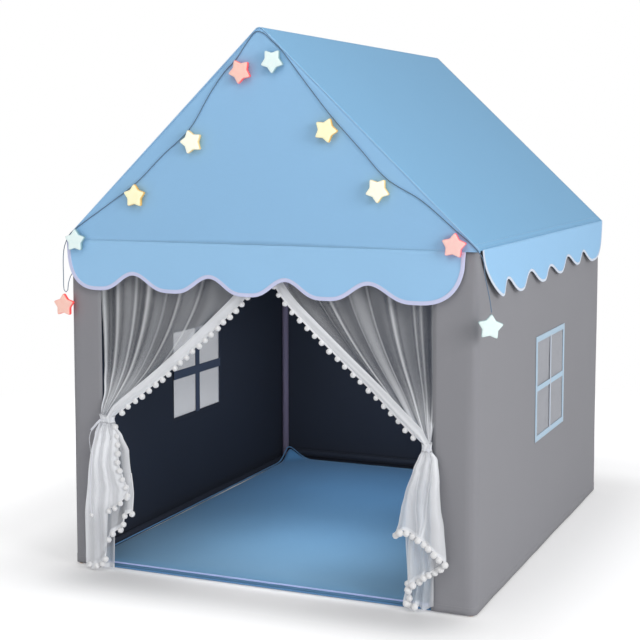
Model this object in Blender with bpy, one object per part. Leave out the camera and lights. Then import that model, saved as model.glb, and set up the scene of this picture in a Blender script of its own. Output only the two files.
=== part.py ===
# A play tent shaped like a small house: a wooden frame under a sewn cloth cover, with a tied-back
# door curtain, a floor mat and a string of star lights. Metres, +Z up, the door faces -Y, +X is to
# the right of someone who looks at the door. The origin is on the floor in the middle of the tent.

import math

import bmesh
import bpy
from mathutils import Matrix, Vector

# Cover, over its outer faces
TENT_WIDTH = 1.050
TENT_DEPTH = 1.270
EAVE_HEIGHT = 0.825
RIDGE_HEIGHT = 1.330
CLOTH = 0.0025
CLEARANCE = 0.0005
ROOF_OVERHANG = 0.0065
HEM_LIFT = 0.002
DOOR_WIDTH = 0.875

# Scalloped valances under the eaves
VALANCE_DROP = 0.121
SCALLOP_DEPTH = 0.042
SCALLOP_STEPS = 8
FRONT_LOBES = 5
SIDE_LOBES = 6
FRONT_VALANCE_LENGTH = 1.027
FRONT_VALANCE_SHIFT = -0.016
REAR_VALANCE_LENGTH = 1.027
SIDE_VALANCE_SETBACK = 0.060

# Windows in the side walls, with their tape edging and glazing bars
WINDOW_WIDTH = 0.280
WINDOW_HEIGHT = 0.245
WINDOW_TAPE = 0.014
WINDOW_BAR = 0.010
WINDOW_TAPE_THICKNESS = 0.0014
WINDOW_NET_THICKNESS = 0.0010
WINDOW_CENTRES = {"left": (0.022, 0.399), "right": (0.040, 0.430)}

# Wooden frame
POLE_RADIUS = 0.0095
POLE_SIDES = 12
SOCKET_WALL = 0.0025
SOCKET_PLAY = 0.0003
SOCKET_SEAT = 0.028
SOCKET_REACH = 0.058
BASE_RAIL_LIFT = 0.0025
REAR_RAIL_STAGGER = 0.022
SPIGOT_RADIUS = 0.0042
SPIGOT_LENGTH = 0.0055
SPIGOT_PLAY = 0.0004

# Floor mat
MAT_THICKNESS = 0.018
MAT_CROWN = 0.005
MAT_CORNER = 0.016
MAT_EDGE_PULL = 0.004
MAT_SHOULDER = 0.050
MAT_SHOULDER_RISE = 0.003
MAT_CROWN_INSET = 0.160
MAT_SIDE_GAP = 0.006
MAT_FRONT_GAP = 0.001

# Door curtains, drawn back to a tie at each side of the door
CURTAIN_THICKNESS = 0.0020
CURTAIN_FOLDS = 5
CURTAIN_FOLD_DEPTH = 0.0080
CURTAIN_JAMB_GAP = 0.0060
CURTAIN_MEETING_GAP = 0.0080
CURTAIN_SAG = 0.006
CURTAIN_COLUMNS = 30
CURTAIN_ROWS = 9
TIE_HEIGHT = 0.379
TIE_BAND = 0.014
TIE_WIDTH = 0.040
TIE_DEPTH = 0.017
TIE_FROM_JAMB = 0.0185
TIE_POINTS = 16
BUNCH_WIDTH = 0.032
BUNCH_FOLD_DEPTH = 0.0035
TAIL_THICKNESS = 0.0030
TAIL_FOLD_DEPTH = 0.0095
TAIL_FOLDS = 4
TAIL_TIE_GAP = 0.002
TAIL_PIVOT_DROP = 0.001
TAIL_FLOOR_GAP = 0.006
TAIL_STAND_OFF = 0.0175
TAIL_COLUMNS = 24
TAIL_ROWS = 9

# Star lights
STAR_RADIUS = 0.0305
STAR_NOTCH = 0.55
STAR_THICKNESS = 0.013
STAR_TIP_ROUNDING = 0.0035
STAR_EDGE = 0.003
STAR_TIP_DROP = 0.001
CORD_RADIUS = 0.0010
CORD_TO_CLOTH = 0.0006
CORD_POINT_GAP = 0.032

# Battery box of the lights, on the inside of the left wall behind the front corner
BOX_DEPTH = 0.034
BOX_HEIGHT = 0.060
BOX_THICKNESS = 0.0175
BOX_BOTTOM = 0.605
BOX_FROM_POST = 0.010
COVER_WIDTH = 0.028
COVER_HEIGHT = 0.043
COVER_THICKNESS = 0.0016
CELL_RADIUS = 0.010
CELL_THICKNESS = 0.0064
CELL_SIDES = 20
SWITCH_LENGTH = 0.006
SWITCH_HEIGHT = 0.004
SWITCH_TRAVEL = 0.005
SWITCH_PROUD = 0.0016
BOX_PLAY = 0.0004

# Derived planes and slopes
HALF_WIDTH = TENT_WIDTH / 2
HALF_DEPTH = TENT_DEPTH / 2
INNER_X = HALF_WIDTH - CLOTH
INNER_Y = HALF_DEPTH - CLOTH
ROOF_HALF = HALF_WIDTH + ROOF_OVERHANG
ROOF_FACE = HALF_DEPTH + ROOF_OVERHANG
ROOF_SLOPE = (RIDGE_HEIGHT - EAVE_HEIGHT) / ROOF_HALF
ROOF_PITCH = math.atan(ROOF_SLOPE)
SOCKET_RADIUS = POLE_RADIUS + SOCKET_PLAY + SOCKET_WALL
POST_X = INNER_X - CLEARANCE - SOCKET_RADIUS
POST_Y = INNER_Y - CLEARANCE - SOCKET_RADIUS
DOOR_HALF = DOOR_WIDTH / 2


def below_roof(depth):
    """Vertical drop that lies this far under the roof, measured square to it."""
    return depth / math.cos(ROOF_PITCH)


def roof_height(x):
    return RIDGE_HEIGHT - ROOF_SLOPE * abs(x)


FRAME_DROP = below_roof(CLOTH + CLEARANCE + SOCKET_RADIUS)
EAVE_NODE_Z = roof_height(POST_X) - FRAME_DROP
RIDGE_NODE_Z = RIDGE_HEIGHT - FRAME_DROP
WALL_TOP = roof_height(HALF_WIDTH) - below_roof(CLOTH) - CLEARANCE
SEAM_Z = EAVE_HEIGHT - below_roof(CLOTH) - CLEARANCE
VALANCE_TOP = SEAM_Z - CLEARANCE
CURTAIN_TOP = EAVE_NODE_Z - POLE_RADIUS - CLEARANCE

for leftover in list(bpy.data.objects):
    bpy.data.objects.remove(leftover)


# Materials

def material(name, colour, roughness, metallic=0.0):
    made = bpy.data.materials.new(name)
    made.use_nodes = True
    shader = made.node_tree.nodes["Principled BSDF"]
    shader.inputs["Base Color"].default_value = (*colour, 1.0)
    shader.inputs["Roughness"].default_value = roughness
    shader.inputs["Metallic"].default_value = metallic
    made.diffuse_color = (*colour, 1.0)
    return made


PINE = (0.72, 0.52, 0.31)
GREY_CLOTH = (0.20, 0.20, 0.21)
BLUE_CLOTH = (0.26, 0.47, 0.70)
VALANCE_BLUE = (0.29, 0.54, 0.78)
TAPE_BLUE = (0.44, 0.61, 0.75)
MAT_BLUE = (0.16, 0.31, 0.46)
SHEER_WHITE = (0.80, 0.81, 0.84)
CONNECTOR_WHITE = (0.75, 0.75, 0.74)
CORD_GREY = (0.10, 0.13, 0.16)
BOX_WHITE = (0.78, 0.78, 0.76)
CELL_STEEL = (0.60, 0.60, 0.60)
STAR_MINT = (0.70, 0.90, 0.84)
STAR_YELLOW = (0.98, 0.83, 0.36)
STAR_PALE = (0.99, 0.93, 0.66)
STAR_RED = (0.95, 0.25, 0.22)
STAR_PINK = (0.96, 0.45, 0.45)


# Mesh helpers

def mesh_object(name, vertices, faces, finish, origin=(0.0, 0.0, 0.0)):
    """A closed solid whose origin is at the given place."""
    base = Vector(origin)
    mesh = bpy.data.meshes.new(name)
    mesh.from_pydata([Vector(v) - base for v in vertices], [], faces)
    shape = bmesh.new()
    shape.from_mesh(mesh)
    bmesh.ops.recalc_face_normals(shape, faces=shape.faces)
    shape.to_mesh(mesh)
    shape.free()
    made = bpy.data.objects.new(name, mesh)
    made.location = base
    bpy.context.scene.collection.objects.link(made)
    if finish is not None:
        mesh.materials.append(finish)
    return made


def prism(name, outline, axis, low, high, finish, origin=(0.0, 0.0, 0.0)):
    """An outline in the plane square to an axis, carried from low to high along that axis."""
    places = {"x": lambda a, b, c: (c, a, b), "y": lambda a, b, c: (a, c, b),
              "z": lambda a, b, c: (a, b, c)}
    place = places[axis]
    count = len(outline)
    vertices = [place(a, b, low) for a, b in outline]
    vertices += [place(a, b, high) for a, b in outline]
    faces = [tuple(range(count)), tuple(range(count, 2 * count))]
    for i in range(count):
        j = (i + 1) % count
        faces.append((i, j, count + j, count + i))
    return mesh_object(name, vertices, faces, finish, origin)


def box(name, low, high, finish, origin=(0.0, 0.0, 0.0)):
    outline = [(low[0], low[1]), (high[0], low[1]), (high[0], high[1]), (low[0], high[1])]
    return prism(name, outline, "z", low[2], high[2], finish, origin)


def ring_solid(name, rings, finish, origin=(0.0, 0.0, 0.0)):
    """Closed rings of the same count, joined in order and capped at both ends."""
    count = len(rings[0])
    vertices = [p for ring in rings for p in ring]
    faces = [tuple(range(count)), tuple(range(len(vertices) - count, len(vertices)))]
    for r in range(len(rings) - 1):
        for i in range(count):
            j = (i + 1) % count
            a, b = r * count, (r + 1) * count
            faces.append((a + i, a + j, b + j, b + i))
    return mesh_object(name, vertices, faces, finish, origin)


def round_ring(centre, direction, radius, sides, turn=0.0):
    """Points of a circle square to a direction."""
    along = Vector(direction).normalized()
    aside = along.orthogonal().normalized()
    across = along.cross(aside)
    points = []
    for i in range(sides):
        angle = turn + math.tau * i / sides
        points.append(Vector(centre) + radius * (math.cos(angle) * aside + math.sin(angle) * across))
    return points


def rod(name, start, end, radius, finish, sides=POLE_SIDES, turn=0.0):
    start, end = Vector(start), Vector(end)
    rings = [round_ring(p, end - start, radius, sides, turn) for p in (start, end)]
    return ring_solid(name, rings, finish)


def combine(target, tool, operation):
    """Joins a helper shape to a piece, or cuts it out of the piece."""
    step = target.modifiers.new(operation.lower(), "BOOLEAN")
    step.operation = operation
    step.object = tool
    tool.hide_render = True
    tool.display_type = "WIRE"


def join(target, *tools):
    for tool in tools:
        combine(target, tool, "UNION")


def cut(target, *tools):
    for tool in tools:
        combine(target, tool, "DIFFERENCE")


# Wooden frame: four uprights, eave rails all round, base rails on three sides, rafters and ridge

def sides_of(names):
    return {"left": -1, "right": 1, "front": -1, "rear": 1}[names]


def spigot_rod(name, start, end):
    """A rail with a thin spigot turned on each end."""
    start, end = Vector(start), Vector(end)
    along = (end - start).normalized()
    rings = []
    for centre, direction in ((start, -along), (end, along)):
        tip = round_ring(centre + direction * SPIGOT_LENGTH, along, SPIGOT_RADIUS, POLE_SIDES)
        neck = round_ring(centre, along, SPIGOT_RADIUS, POLE_SIDES)
        shoulder = round_ring(centre, along, POLE_RADIUS, POLE_SIDES)
        rings.append((tip, neck, shoulder))
    ordered = [*rings[0], *reversed(rings[1])]
    return ring_solid(name, ordered, material(name, PINE, 0.6))


SIDE_RAIL_Z = BASE_RAIL_LIFT + POLE_RADIUS
REAR_RAIL_Z = SIDE_RAIL_Z + REAR_RAIL_STAGGER
RAIL_REACH_X = POST_X - POLE_RADIUS - CLEARANCE
RAIL_REACH_Y = POST_Y - POLE_RADIUS - CLEARANCE

for x_name in ("left", "right"):
    for y_name in ("front", "rear"):
        x = sides_of(x_name) * POST_X
        y = sides_of(y_name) * POST_Y
        name = f"upright_{y_name}_{x_name}"
        upright = rod(name, (x, y, 0.0), (x, y, EAVE_NODE_Z - SOCKET_SEAT - CLEARANCE),
                      POLE_RADIUS, material(name, PINE, 0.6))
        hole_end = POST_Y - POLE_RADIUS + SPIGOT_LENGTH
        hole = rod(f"{name}_side_hole", (x, sides_of(y_name) * (RAIL_REACH_Y - CLEARANCE), SIDE_RAIL_Z),
                   (x, sides_of(y_name) * hole_end, SIDE_RAIL_Z), SPIGOT_RADIUS + SPIGOT_PLAY, None)
        cut(upright, hole)
        if y_name == "rear":
            hole_end = POST_X - POLE_RADIUS + SPIGOT_LENGTH
            hole = rod(f"{name}_rear_hole", (sides_of(x_name) * (RAIL_REACH_X - CLEARANCE), y, REAR_RAIL_Z),
                       (sides_of(x_name) * hole_end, y, REAR_RAIL_Z), SPIGOT_RADIUS + SPIGOT_PLAY, None)
            cut(upright, hole)

for x_name in ("left", "right"):
    x = sides_of(x_name) * POST_X
    spigot_rod(f"base_rail_{x_name}", (x, -RAIL_REACH_Y, SIDE_RAIL_Z), (x, RAIL_REACH_Y, SIDE_RAIL_Z))
spigot_rod("base_rail_rear", (-RAIL_REACH_X, POST_Y, REAR_RAIL_Z), (RAIL_REACH_X, POST_Y, REAR_RAIL_Z))

SEAT = SOCKET_SEAT + CLEARANCE
for x_name in ("left", "right"):
    name = f"eave_rail_{x_name}"
    x = sides_of(x_name) * POST_X
    rod(name, (x, -POST_Y + SEAT, EAVE_NODE_Z), (x, POST_Y - SEAT, EAVE_NODE_Z), POLE_RADIUS,
        material(name, PINE, 0.6))
for y_name in ("front", "rear"):
    name = f"eave_rail_{y_name}"
    y = sides_of(y_name) * POST_Y
    rod(name, (-POST_X + SEAT, y, EAVE_NODE_Z), (POST_X - SEAT, y, EAVE_NODE_Z), POLE_RADIUS,
        material(name, PINE, 0.6))
    for x_name in ("left", "right"):
        name = f"rafter_{y_name}_{x_name}"
        foot = Vector((sides_of(x_name) * POST_X, y, EAVE_NODE_Z))
        head = Vector((0.0, y, RIDGE_NODE_Z))
        along = (head - foot).normalized()
        rod(name, foot + along * SEAT, head - along * SEAT, POLE_RADIUS, material(name, PINE, 0.6))
rod("ridge_pole", (0.0, -POST_Y + SEAT, RIDGE_NODE_Z), (0.0, POST_Y - SEAT, RIDGE_NODE_Z),
    POLE_RADIUS, material("ridge_pole", PINE, 0.6))


# Plastic connectors: a ball hub with an open socket for each pole

SLEEVE_TURN = math.radians(3.5)


def connector(name, centre, directions):
    centre = Vector(centre)
    hub = bpy.data.meshes.new(name)
    shape = bmesh.new()
    bmesh.ops.create_uvsphere(shape, u_segments=12, v_segments=8, radius=SOCKET_RADIUS)
    shape.to_mesh(hub)
    shape.free()
    made = bpy.data.objects.new(name, hub)
    made.location = centre
    bpy.context.scene.collection.objects.link(made)
    hub.materials.append(material(name, CONNECTOR_WHITE, 0.45))
    # The sleeves are a hair slimmer than the ball, and each is turned by its own angle, so that no
    # two of their flats share a plane
    sleeve_radius = SOCKET_RADIUS - CLEARANCE / 2
    bore_radius = POLE_RADIUS + SOCKET_PLAY
    sleeves, bores = [], []
    for number, direction in enumerate(directions):
        along = Vector(direction).normalized()
        mouth = centre + along * SOCKET_REACH
        sleeves.append(rod(f"{name}_sleeve_{number}", centre, mouth, sleeve_radius, None,
                           turn=SLEEVE_TURN * (number + 2)))
        bores.append(rod(f"{name}_bore_{number}", centre + along * SOCKET_SEAT, mouth + along * SEAT,
                         bore_radius, None))
    join(made, *sleeves)
    cut(made, *bores)


for x_name in ("left", "right"):
    for y_name in ("front", "rear"):
        sx, sy = sides_of(x_name), sides_of(y_name)
        rafter_way = (-sx * POST_X, 0.0, RIDGE_NODE_Z - EAVE_NODE_Z)
        connector(f"eave_connector_{y_name}_{x_name}", (sx * POST_X, sy * POST_Y, EAVE_NODE_Z),
                  [(0.0, 0.0, -1.0), (-sx, 0.0, 0.0), (0.0, -sy, 0.0), rafter_way])
for y_name in ("front", "rear"):
    sy = sides_of(y_name)
    slope_down = EAVE_NODE_Z - RIDGE_NODE_Z
    connector(f"ridge_connector_{y_name}", (0.0, sy * POST_Y, RIDGE_NODE_Z),
              [(-POST_X, 0.0, slope_down), (POST_X, 0.0, slope_down), (0.0, -sy, 0.0)])


# Cloth walls, with a window opening in each side wall

def window_box(centre_y, centre_z, grow):
    half_w = WINDOW_WIDTH / 2 + grow
    half_h = WINDOW_HEIGHT / 2 + grow
    return (centre_y - half_w, centre_z - half_h), (centre_y + half_w, centre_z + half_h)


def x_span(side, near, far):
    """Low and high X of a layer between two distances from the tent's middle plane."""
    return sorted((side * near, side * far))


for x_name in ("left", "right"):
    side = sides_of(x_name)
    low_x, high_x = x_span(side, INNER_X, HALF_WIDTH)
    wall = box(f"wall_{x_name}", (low_x, -INNER_Y + CLEARANCE, HEM_LIFT),
               (high_x, INNER_Y - CLEARANCE, WALL_TOP), material(f"wall_{x_name}", GREY_CLOTH, 0.9))
    low, high = window_box(*WINDOW_CENTRES[x_name], 0.0)
    opening = box(f"wall_{x_name}_opening", (low_x - CLOTH, *low), (high_x + CLOTH, *high), None)
    cut(wall, opening)

    low, high = window_box(*WINDOW_CENTRES[x_name], WINDOW_TAPE)
    tape_low, tape_high = x_span(side, HALF_WIDTH + CLEARANCE,
                                 HALF_WIDTH + CLEARANCE + WINDOW_TAPE_THICKNESS)
    window = box(f"window_{x_name}", (tape_low, *low), (tape_high, *high),
                 material(f"window_{x_name}", TAPE_BLUE, 0.8))
    low, high = window_box(*WINDOW_CENTRES[x_name], -CLEARANCE)
    plug_low, plug_high = x_span(side, INNER_X, HALF_WIDTH + 2 * CLEARANCE)
    plug = box(f"window_{x_name}_plug", (plug_low, *low), (plug_high, *high), None)
    join(window, plug)
    pane_w = (WINDOW_WIDTH - WINDOW_BAR) / 2 - CLEARANCE * 2
    pane_h = (WINDOW_HEIGHT - WINDOW_BAR) / 2 - CLEARANCE * 2
    centre_y, centre_z = WINDOW_CENTRES[x_name]
    cut_low, cut_high = x_span(side, INNER_X + WINDOW_NET_THICKNESS, HALF_WIDTH + 4 * CLOTH)
    for across in (-1, 1):
        for up in (-1, 1):
            mid_y = centre_y + across * (WINDOW_BAR + pane_w) / 2
            mid_z = centre_z + up * (WINDOW_BAR + pane_h) / 2
            pane = box(f"window_{x_name}_pane_{across}_{up}",
                       (cut_low, mid_y - pane_w / 2, mid_z - pane_h / 2),
                       (cut_high, mid_y + pane_w / 2, mid_z + pane_h / 2), None)
            cut(window, pane)

box("wall_rear", (-HALF_WIDTH, INNER_Y, HEM_LIFT), (HALF_WIDTH, HALF_DEPTH, WALL_TOP),
    material("wall_rear", GREY_CLOTH, 0.9))
for x_name in ("left", "right"):
    low_x, high_x = x_span(sides_of(x_name), DOOR_HALF, HALF_WIDTH)
    box(f"wall_front_{x_name}", (low_x, -HALF_DEPTH, HEM_LIFT), (high_x, -INNER_Y, WALL_TOP),
        material(f"wall_front_{x_name}", GREY_CLOTH, 0.9))


# Cloth roof: two slopes, two gables and the scalloped valances

for x_name in ("left", "right"):
    side = sides_of(x_name)
    thickness = below_roof(CLOTH)
    ridge_x = CLEARANCE / 2
    outline = [(side * ridge_x, roof_height(ridge_x)), (side * ROOF_HALF, EAVE_HEIGHT),
               (side * ROOF_HALF, EAVE_HEIGHT - thickness),
               (side * ridge_x, roof_height(ridge_x) - thickness)]
    prism(f"roof_{x_name}", outline, "y", -ROOF_FACE, ROOF_FACE,
          material(f"roof_{x_name}", BLUE_CLOTH, 0.85))

GABLE_PEAK = RIDGE_HEIGHT - below_roof(CLOTH) - CLEARANCE
for y_name in ("front", "rear"):
    low_y, high_y = x_span(sides_of(y_name), ROOF_FACE - CLOTH, ROOF_FACE)
    prism(f"gable_{y_name}", [(-ROOF_HALF, SEAM_Z), (ROOF_HALF, SEAM_Z), (0.0, GABLE_PEAK)], "y",
          low_y, high_y, material(f"gable_{y_name}", BLUE_CLOTH, 0.85))


def scalloped_outline(start, length, lobes):
    """Lobes of equal length whose outer ends curve up to the seam."""
    pitch = length / lobes
    bottom = VALANCE_TOP - VALANCE_DROP
    points = []
    steps = lobes * SCALLOP_STEPS
    for i in range(steps + 1):
        s = length * i / steps
        from_end = length * min(i, steps - i) / steps
        if from_end < pitch / 2:
            lean = (pitch / 2 - from_end) / (pitch / 2)
            z = bottom + (VALANCE_DROP - CLEARANCE) * (1.0 - math.sqrt(1.0 - lean * lean))
        else:
            z = bottom + SCALLOP_DEPTH * (1.0 - math.cos(math.tau * (s - pitch / 2) / pitch)) / 2
        points.append((start + s, z))
    return points + [(start + length, VALANCE_TOP), (start, VALANCE_TOP)]


VALANCES = {
    "front": (FRONT_VALANCE_SHIFT - FRONT_VALANCE_LENGTH / 2, FRONT_VALANCE_LENGTH, FRONT_LOBES),
    "rear": (-REAR_VALANCE_LENGTH / 2, REAR_VALANCE_LENGTH, FRONT_LOBES),
    "left": (-ROOF_FACE + SIDE_VALANCE_SETBACK, 2 * ROOF_FACE - SIDE_VALANCE_SETBACK, SIDE_LOBES),
    "right": (-ROOF_FACE + SIDE_VALANCE_SETBACK, 2 * ROOF_FACE - SIDE_VALANCE_SETBACK, SIDE_LOBES),
}
for side_name, (start, length, lobes) in VALANCES.items():
    name = f"valance_{side_name}"
    face = ROOF_FACE if side_name in ("front", "rear") else ROOF_HALF
    axis = "y" if side_name in ("front", "rear") else "x"
    low, high = x_span(sides_of(side_name), face - CLOTH, face)
    prism(name, scalloped_outline(start, length, lobes), axis, low, high,
          material(name, VALANCE_BLUE, 0.85))


# Floor mat: a soft pad with drawn-in edges and a low crown, flat underneath

def rounded_rectangle(low, high, corner, steps):
    """Points counter-clockwise round a rectangle with round corners."""
    points = []
    corners = [((high[0] - corner, low[1] + corner), -90), ((high[0] - corner, high[1] - corner), 0),
               ((low[0] + corner, high[1] - corner), 90), ((low[0] + corner, low[1] + corner), 180)]
    for (x, y), first in corners:
        for i in range(steps + 1):
            angle = math.radians(first + 90 * i / steps)
            points.append((x + corner * math.cos(angle), y + corner * math.sin(angle)))
    return points


MAT_LOW = (-(POST_X - POLE_RADIUS - MAT_SIDE_GAP), -(INNER_Y - MAT_FRONT_GAP))
MAT_HIGH = (POST_X - POLE_RADIUS - MAT_SIDE_GAP, POST_Y - POLE_RADIUS - MAT_SIDE_GAP)
# The mat's edge as (inset from its widest outline, share of its thickness)
MAT_LAYERS = [(MAT_EDGE_PULL, 0.0), (0.0, 0.28), (0.0, 0.72), (MAT_EDGE_PULL, 1.0)]
mat_rings = []
for inset, level in MAT_LAYERS:
    low = (MAT_LOW[0] + inset, MAT_LOW[1] + inset)
    high = (MAT_HIGH[0] - inset, MAT_HIGH[1] - inset)
    ring = rounded_rectangle(low, high, MAT_CORNER, 3)
    mat_rings.append([(x, y, level * MAT_THICKNESS) for x, y in ring])
for inset, rise in ((MAT_SHOULDER, MAT_SHOULDER_RISE), (MAT_CROWN_INSET, MAT_CROWN)):
    low = (MAT_LOW[0] + inset, MAT_LOW[1] + inset)
    high = (MAT_HIGH[0] - inset, MAT_HIGH[1] - inset)
    ring = rounded_rectangle(low, high, MAT_CORNER, 3)
    mat_rings.append([(x, y, MAT_THICKNESS + rise) for x, y in ring])
ring_solid("floor_mat", mat_rings, material("floor_mat", MAT_BLUE, 0.7))


# Curtains: a sheet whose folds fan out from the tie, and a tail that hangs below it

def smooth(t):
    t = min(max(t, 0.0), 1.0)
    return t * t * (3.0 - 2.0 * t)


def between(pairs, t):
    """Straight-line reading of a short list of (place, value) pairs."""
    for (t0, v0), (t1, v1) in zip(pairs, pairs[1:]):
        if t <= t1:
            return v0 + (v1 - v0) * (t - t0) / (t1 - t0)
    return pairs[-1][1]


def folded_sheet(name, surface, columns, rows, thickness, finish, origin=(0.0, 0.0, 0.0)):
    """A sheet of cloth given by surface(u, v), thickened towards the front and the back."""
    vertices, faces = [], []
    for offset in (-thickness / 2, thickness / 2):
        for j in range(rows + 1):
            for i in range(columns + 1):
                x, y, z = surface(i / columns, j / rows)
                vertices.append((x, y + offset, z))
    across = columns + 1
    layer = across * (rows + 1)
    for j in range(rows):
        for i in range(columns):
            a = j * across + i
            quad = (a, a + 1, a + across + 1, a + across)
            faces.append(quad)
            faces.append(tuple(layer + k for k in quad))
    rim = [i for i in range(columns)]
    rim += [columns + j * across for j in range(rows)]
    rim += [rows * across + i for i in range(columns, 0, -1)]
    rim += [j * across for j in range(rows, 0, -1)]
    for a, b in zip(rim, rim[1:] + rim[:1]):
        faces.append((a, b, layer + b, layer + a))
    return mesh_object(name, vertices, faces, finish, origin)


def rounded_oval(centre, half_width, half_depth, count):
    """An oval with full sides, like a bundle pressed flat by its band."""
    fullness = 0.7
    points = []
    for i in range(count):
        angle = math.tau * (i + 0.5) / count
        x, y = math.cos(angle), math.sin(angle)
        points.append((centre[0] + half_width * math.copysign(abs(x) ** fullness, x),
                       centre[1] + half_depth * math.copysign(abs(y) ** fullness, y)))
    return points


TIE_X = DOOR_HALF - TIE_FROM_JAMB
TIE_Y = -HALF_DEPTH - CLEARANCE - TIE_DEPTH / 2
TAIL_TOP = TIE_HEIGHT - TIE_BAND / 2 - TAIL_TIE_GAP
BUNCH_END = TIE_HEIGHT + TIE_BAND / 2 + CLEARANCE


# Shares of the way down at which a line through the curtain's folds would start, at which it starts
# to come forward to its tie, at which the tail has fallen back to the wall and its folds are full,
# and how open they are straight under the tie
CURTAIN_SWEEP_START = 0.17
CURTAIN_TURN = 0.70
TAIL_FALL_END = 0.30
TAIL_FOLD_END = 0.50
TAIL_PRESS = 0.15
TAIL_PRESS_END = 0.10


def sweep(v):
    """How far a fold has gone to the tie: it hangs straight off the rail, then runs in a line."""
    if v < 2.0 * CURTAIN_SWEEP_START:
        return v * v / (4.0 * CURTAIN_SWEEP_START * (1.0 - CURTAIN_SWEEP_START))
    return (v - CURTAIN_SWEEP_START) / (1.0 - CURTAIN_SWEEP_START)


def curtain_surface(side):
    outer = DOOR_HALF - CURTAIN_JAMB_GAP
    inner = CURTAIN_MEETING_GAP / 2

    def surface(u, v):
        top_x = outer + (inner - outer) * u
        end_x = TIE_X + BUNCH_WIDTH * (0.5 - u)
        sag = CURTAIN_SAG * u * math.sin(math.pi * v)
        x = top_x + (end_x - top_x) * sweep(v) - sag
        z = CURTAIN_TOP + (BUNCH_END - CURTAIN_TOP) * v - sag
        y = -POST_Y + (TIE_Y + POST_Y) * smooth((v - CURTAIN_TURN) / (1.0 - CURTAIN_TURN))
        depth = CURTAIN_FOLD_DEPTH + (BUNCH_FOLD_DEPTH - CURTAIN_FOLD_DEPTH) * smooth(v)
        return side * x, y + depth * math.sin(math.tau * CURTAIN_FOLDS * u), z

    return surface


# Half widths of a tail on its jamb side and its door side, and the height of its hem, each as
# (share of the way, size) pairs read from top to bottom, or from the jamb side to the door side
TAIL_SHAPES = {
    "left": {"jamb_side": [(0.0, 0.017), (0.08, 0.032), (0.25, 0.054), (0.55, 0.069), (1.0, 0.078)],
             "door_side": [(0.0, 0.015), (0.06, 0.036), (0.20, 0.052), (0.45, 0.062), (1.0, 0.066)],
             "hem": [(0.0, 0.0), (0.55, 0.0), (0.62, 0.085), (1.0, 0.140)]},
    "right": {"jamb_side": [(0.0, 0.015), (0.08, 0.020), (0.30, 0.032), (0.60, 0.040), (1.0, 0.042)],
              "door_side": [(0.0, 0.017), (0.08, 0.038), (0.25, 0.055), (0.50, 0.074), (1.0, 0.068)],
              "hem": [(0.0, 0.100), (0.20, 0.075), (0.28, 0.0), (0.80, 0.0), (1.0, 0.130)]},
}


def tail_surface(side, shape):
    def surface(u, v):
        hem = TAIL_FLOOR_GAP + between(shape["hem"], u)
        z = TAIL_TOP + (hem - TAIL_TOP) * v
        down = (TAIL_TOP - z) / TAIL_TOP
        jamb = TIE_X + between(shape["jamb_side"], down)
        door = TIE_X - between(shape["door_side"], down)
        x = jamb + (door - jamb) * u
        y = TIE_Y + (-HALF_DEPTH - TAIL_STAND_OFF - TIE_Y) * smooth(down / TAIL_FALL_END)
        depth = BUNCH_FOLD_DEPTH + (TAIL_FOLD_DEPTH - BUNCH_FOLD_DEPTH) * smooth(down / TAIL_FOLD_END)
        depth *= smooth(TAIL_PRESS + down / TAIL_PRESS_END)
        return side * x, y + depth * math.sin(math.tau * TAIL_FOLDS * u), z

    return surface


for x_name in ("left", "right"):
    side = sides_of(x_name)
    folded_sheet(f"curtain_{x_name}", curtain_surface(side), CURTAIN_COLUMNS, CURTAIN_ROWS,
                 CURTAIN_THICKNESS, material(f"curtain_{x_name}", SHEER_WHITE, 0.8))
    pivot = (side * TIE_X, TIE_Y, TAIL_TOP - TAIL_PIVOT_DROP)
    folded_sheet(f"curtain_tail_{x_name}", tail_surface(side, TAIL_SHAPES[x_name]), TAIL_COLUMNS,
                 TAIL_ROWS, TAIL_THICKNESS, material(f"curtain_tail_{x_name}", SHEER_WHITE, 0.8), pivot)
    band = rounded_oval((side * TIE_X, TIE_Y), TIE_WIDTH / 2, TIE_DEPTH / 2, TIE_POINTS)
    prism(f"curtain_tie_{x_name}", band, "z", TIE_HEIGHT - TIE_BAND / 2, TIE_HEIGHT + TIE_BAND / 2,
          material(f"curtain_tie_{x_name}", SHEER_WHITE, 0.8))


# Battery box on the inside of the left wall, with a sliding cover, a switch and its cell

BOX_WALL_X = -INNER_X + BOX_PLAY
BOX_FACE_X = BOX_WALL_X + BOX_THICKNESS
BOX_MIN_Y = -POST_Y + POLE_RADIUS + BOX_FROM_POST
BOX_MID_Y = BOX_MIN_Y + BOX_DEPTH / 2
BOX_TOP = BOX_BOTTOM + BOX_HEIGHT
COVER_FLOOR_X = BOX_FACE_X - COVER_THICKNESS - BOX_PLAY
CELL_Z = BOX_BOTTOM + COVER_HEIGHT / 2
SWITCH_Z = (BOX_BOTTOM + COVER_HEIGHT + BOX_TOP) / 2

battery_box = box("battery_box", (BOX_WALL_X, BOX_MIN_Y, BOX_BOTTOM),
                  (BOX_FACE_X, BOX_MIN_Y + BOX_DEPTH, BOX_TOP),
                  material("battery_box", BOX_WHITE, 0.4))
cover_recess = box("battery_cover_recess",
                   (COVER_FLOOR_X, BOX_MID_Y - COVER_WIDTH / 2 - BOX_PLAY, BOX_BOTTOM - BOX_PLAY),
                   (BOX_FACE_X + BOX_PLAY, BOX_MID_Y + COVER_WIDTH / 2 + BOX_PLAY,
                    BOX_BOTTOM + COVER_HEIGHT + BOX_PLAY), None)
cell_recess = rod("battery_recess", (COVER_FLOOR_X - CELL_THICKNESS - 2 * BOX_PLAY, BOX_MID_Y, CELL_Z),
                  (BOX_FACE_X, BOX_MID_Y, CELL_Z), CELL_RADIUS + BOX_PLAY, None, sides=CELL_SIDES)
switch_reach = (SWITCH_LENGTH + SWITCH_TRAVEL) / 2 + BOX_PLAY
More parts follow.
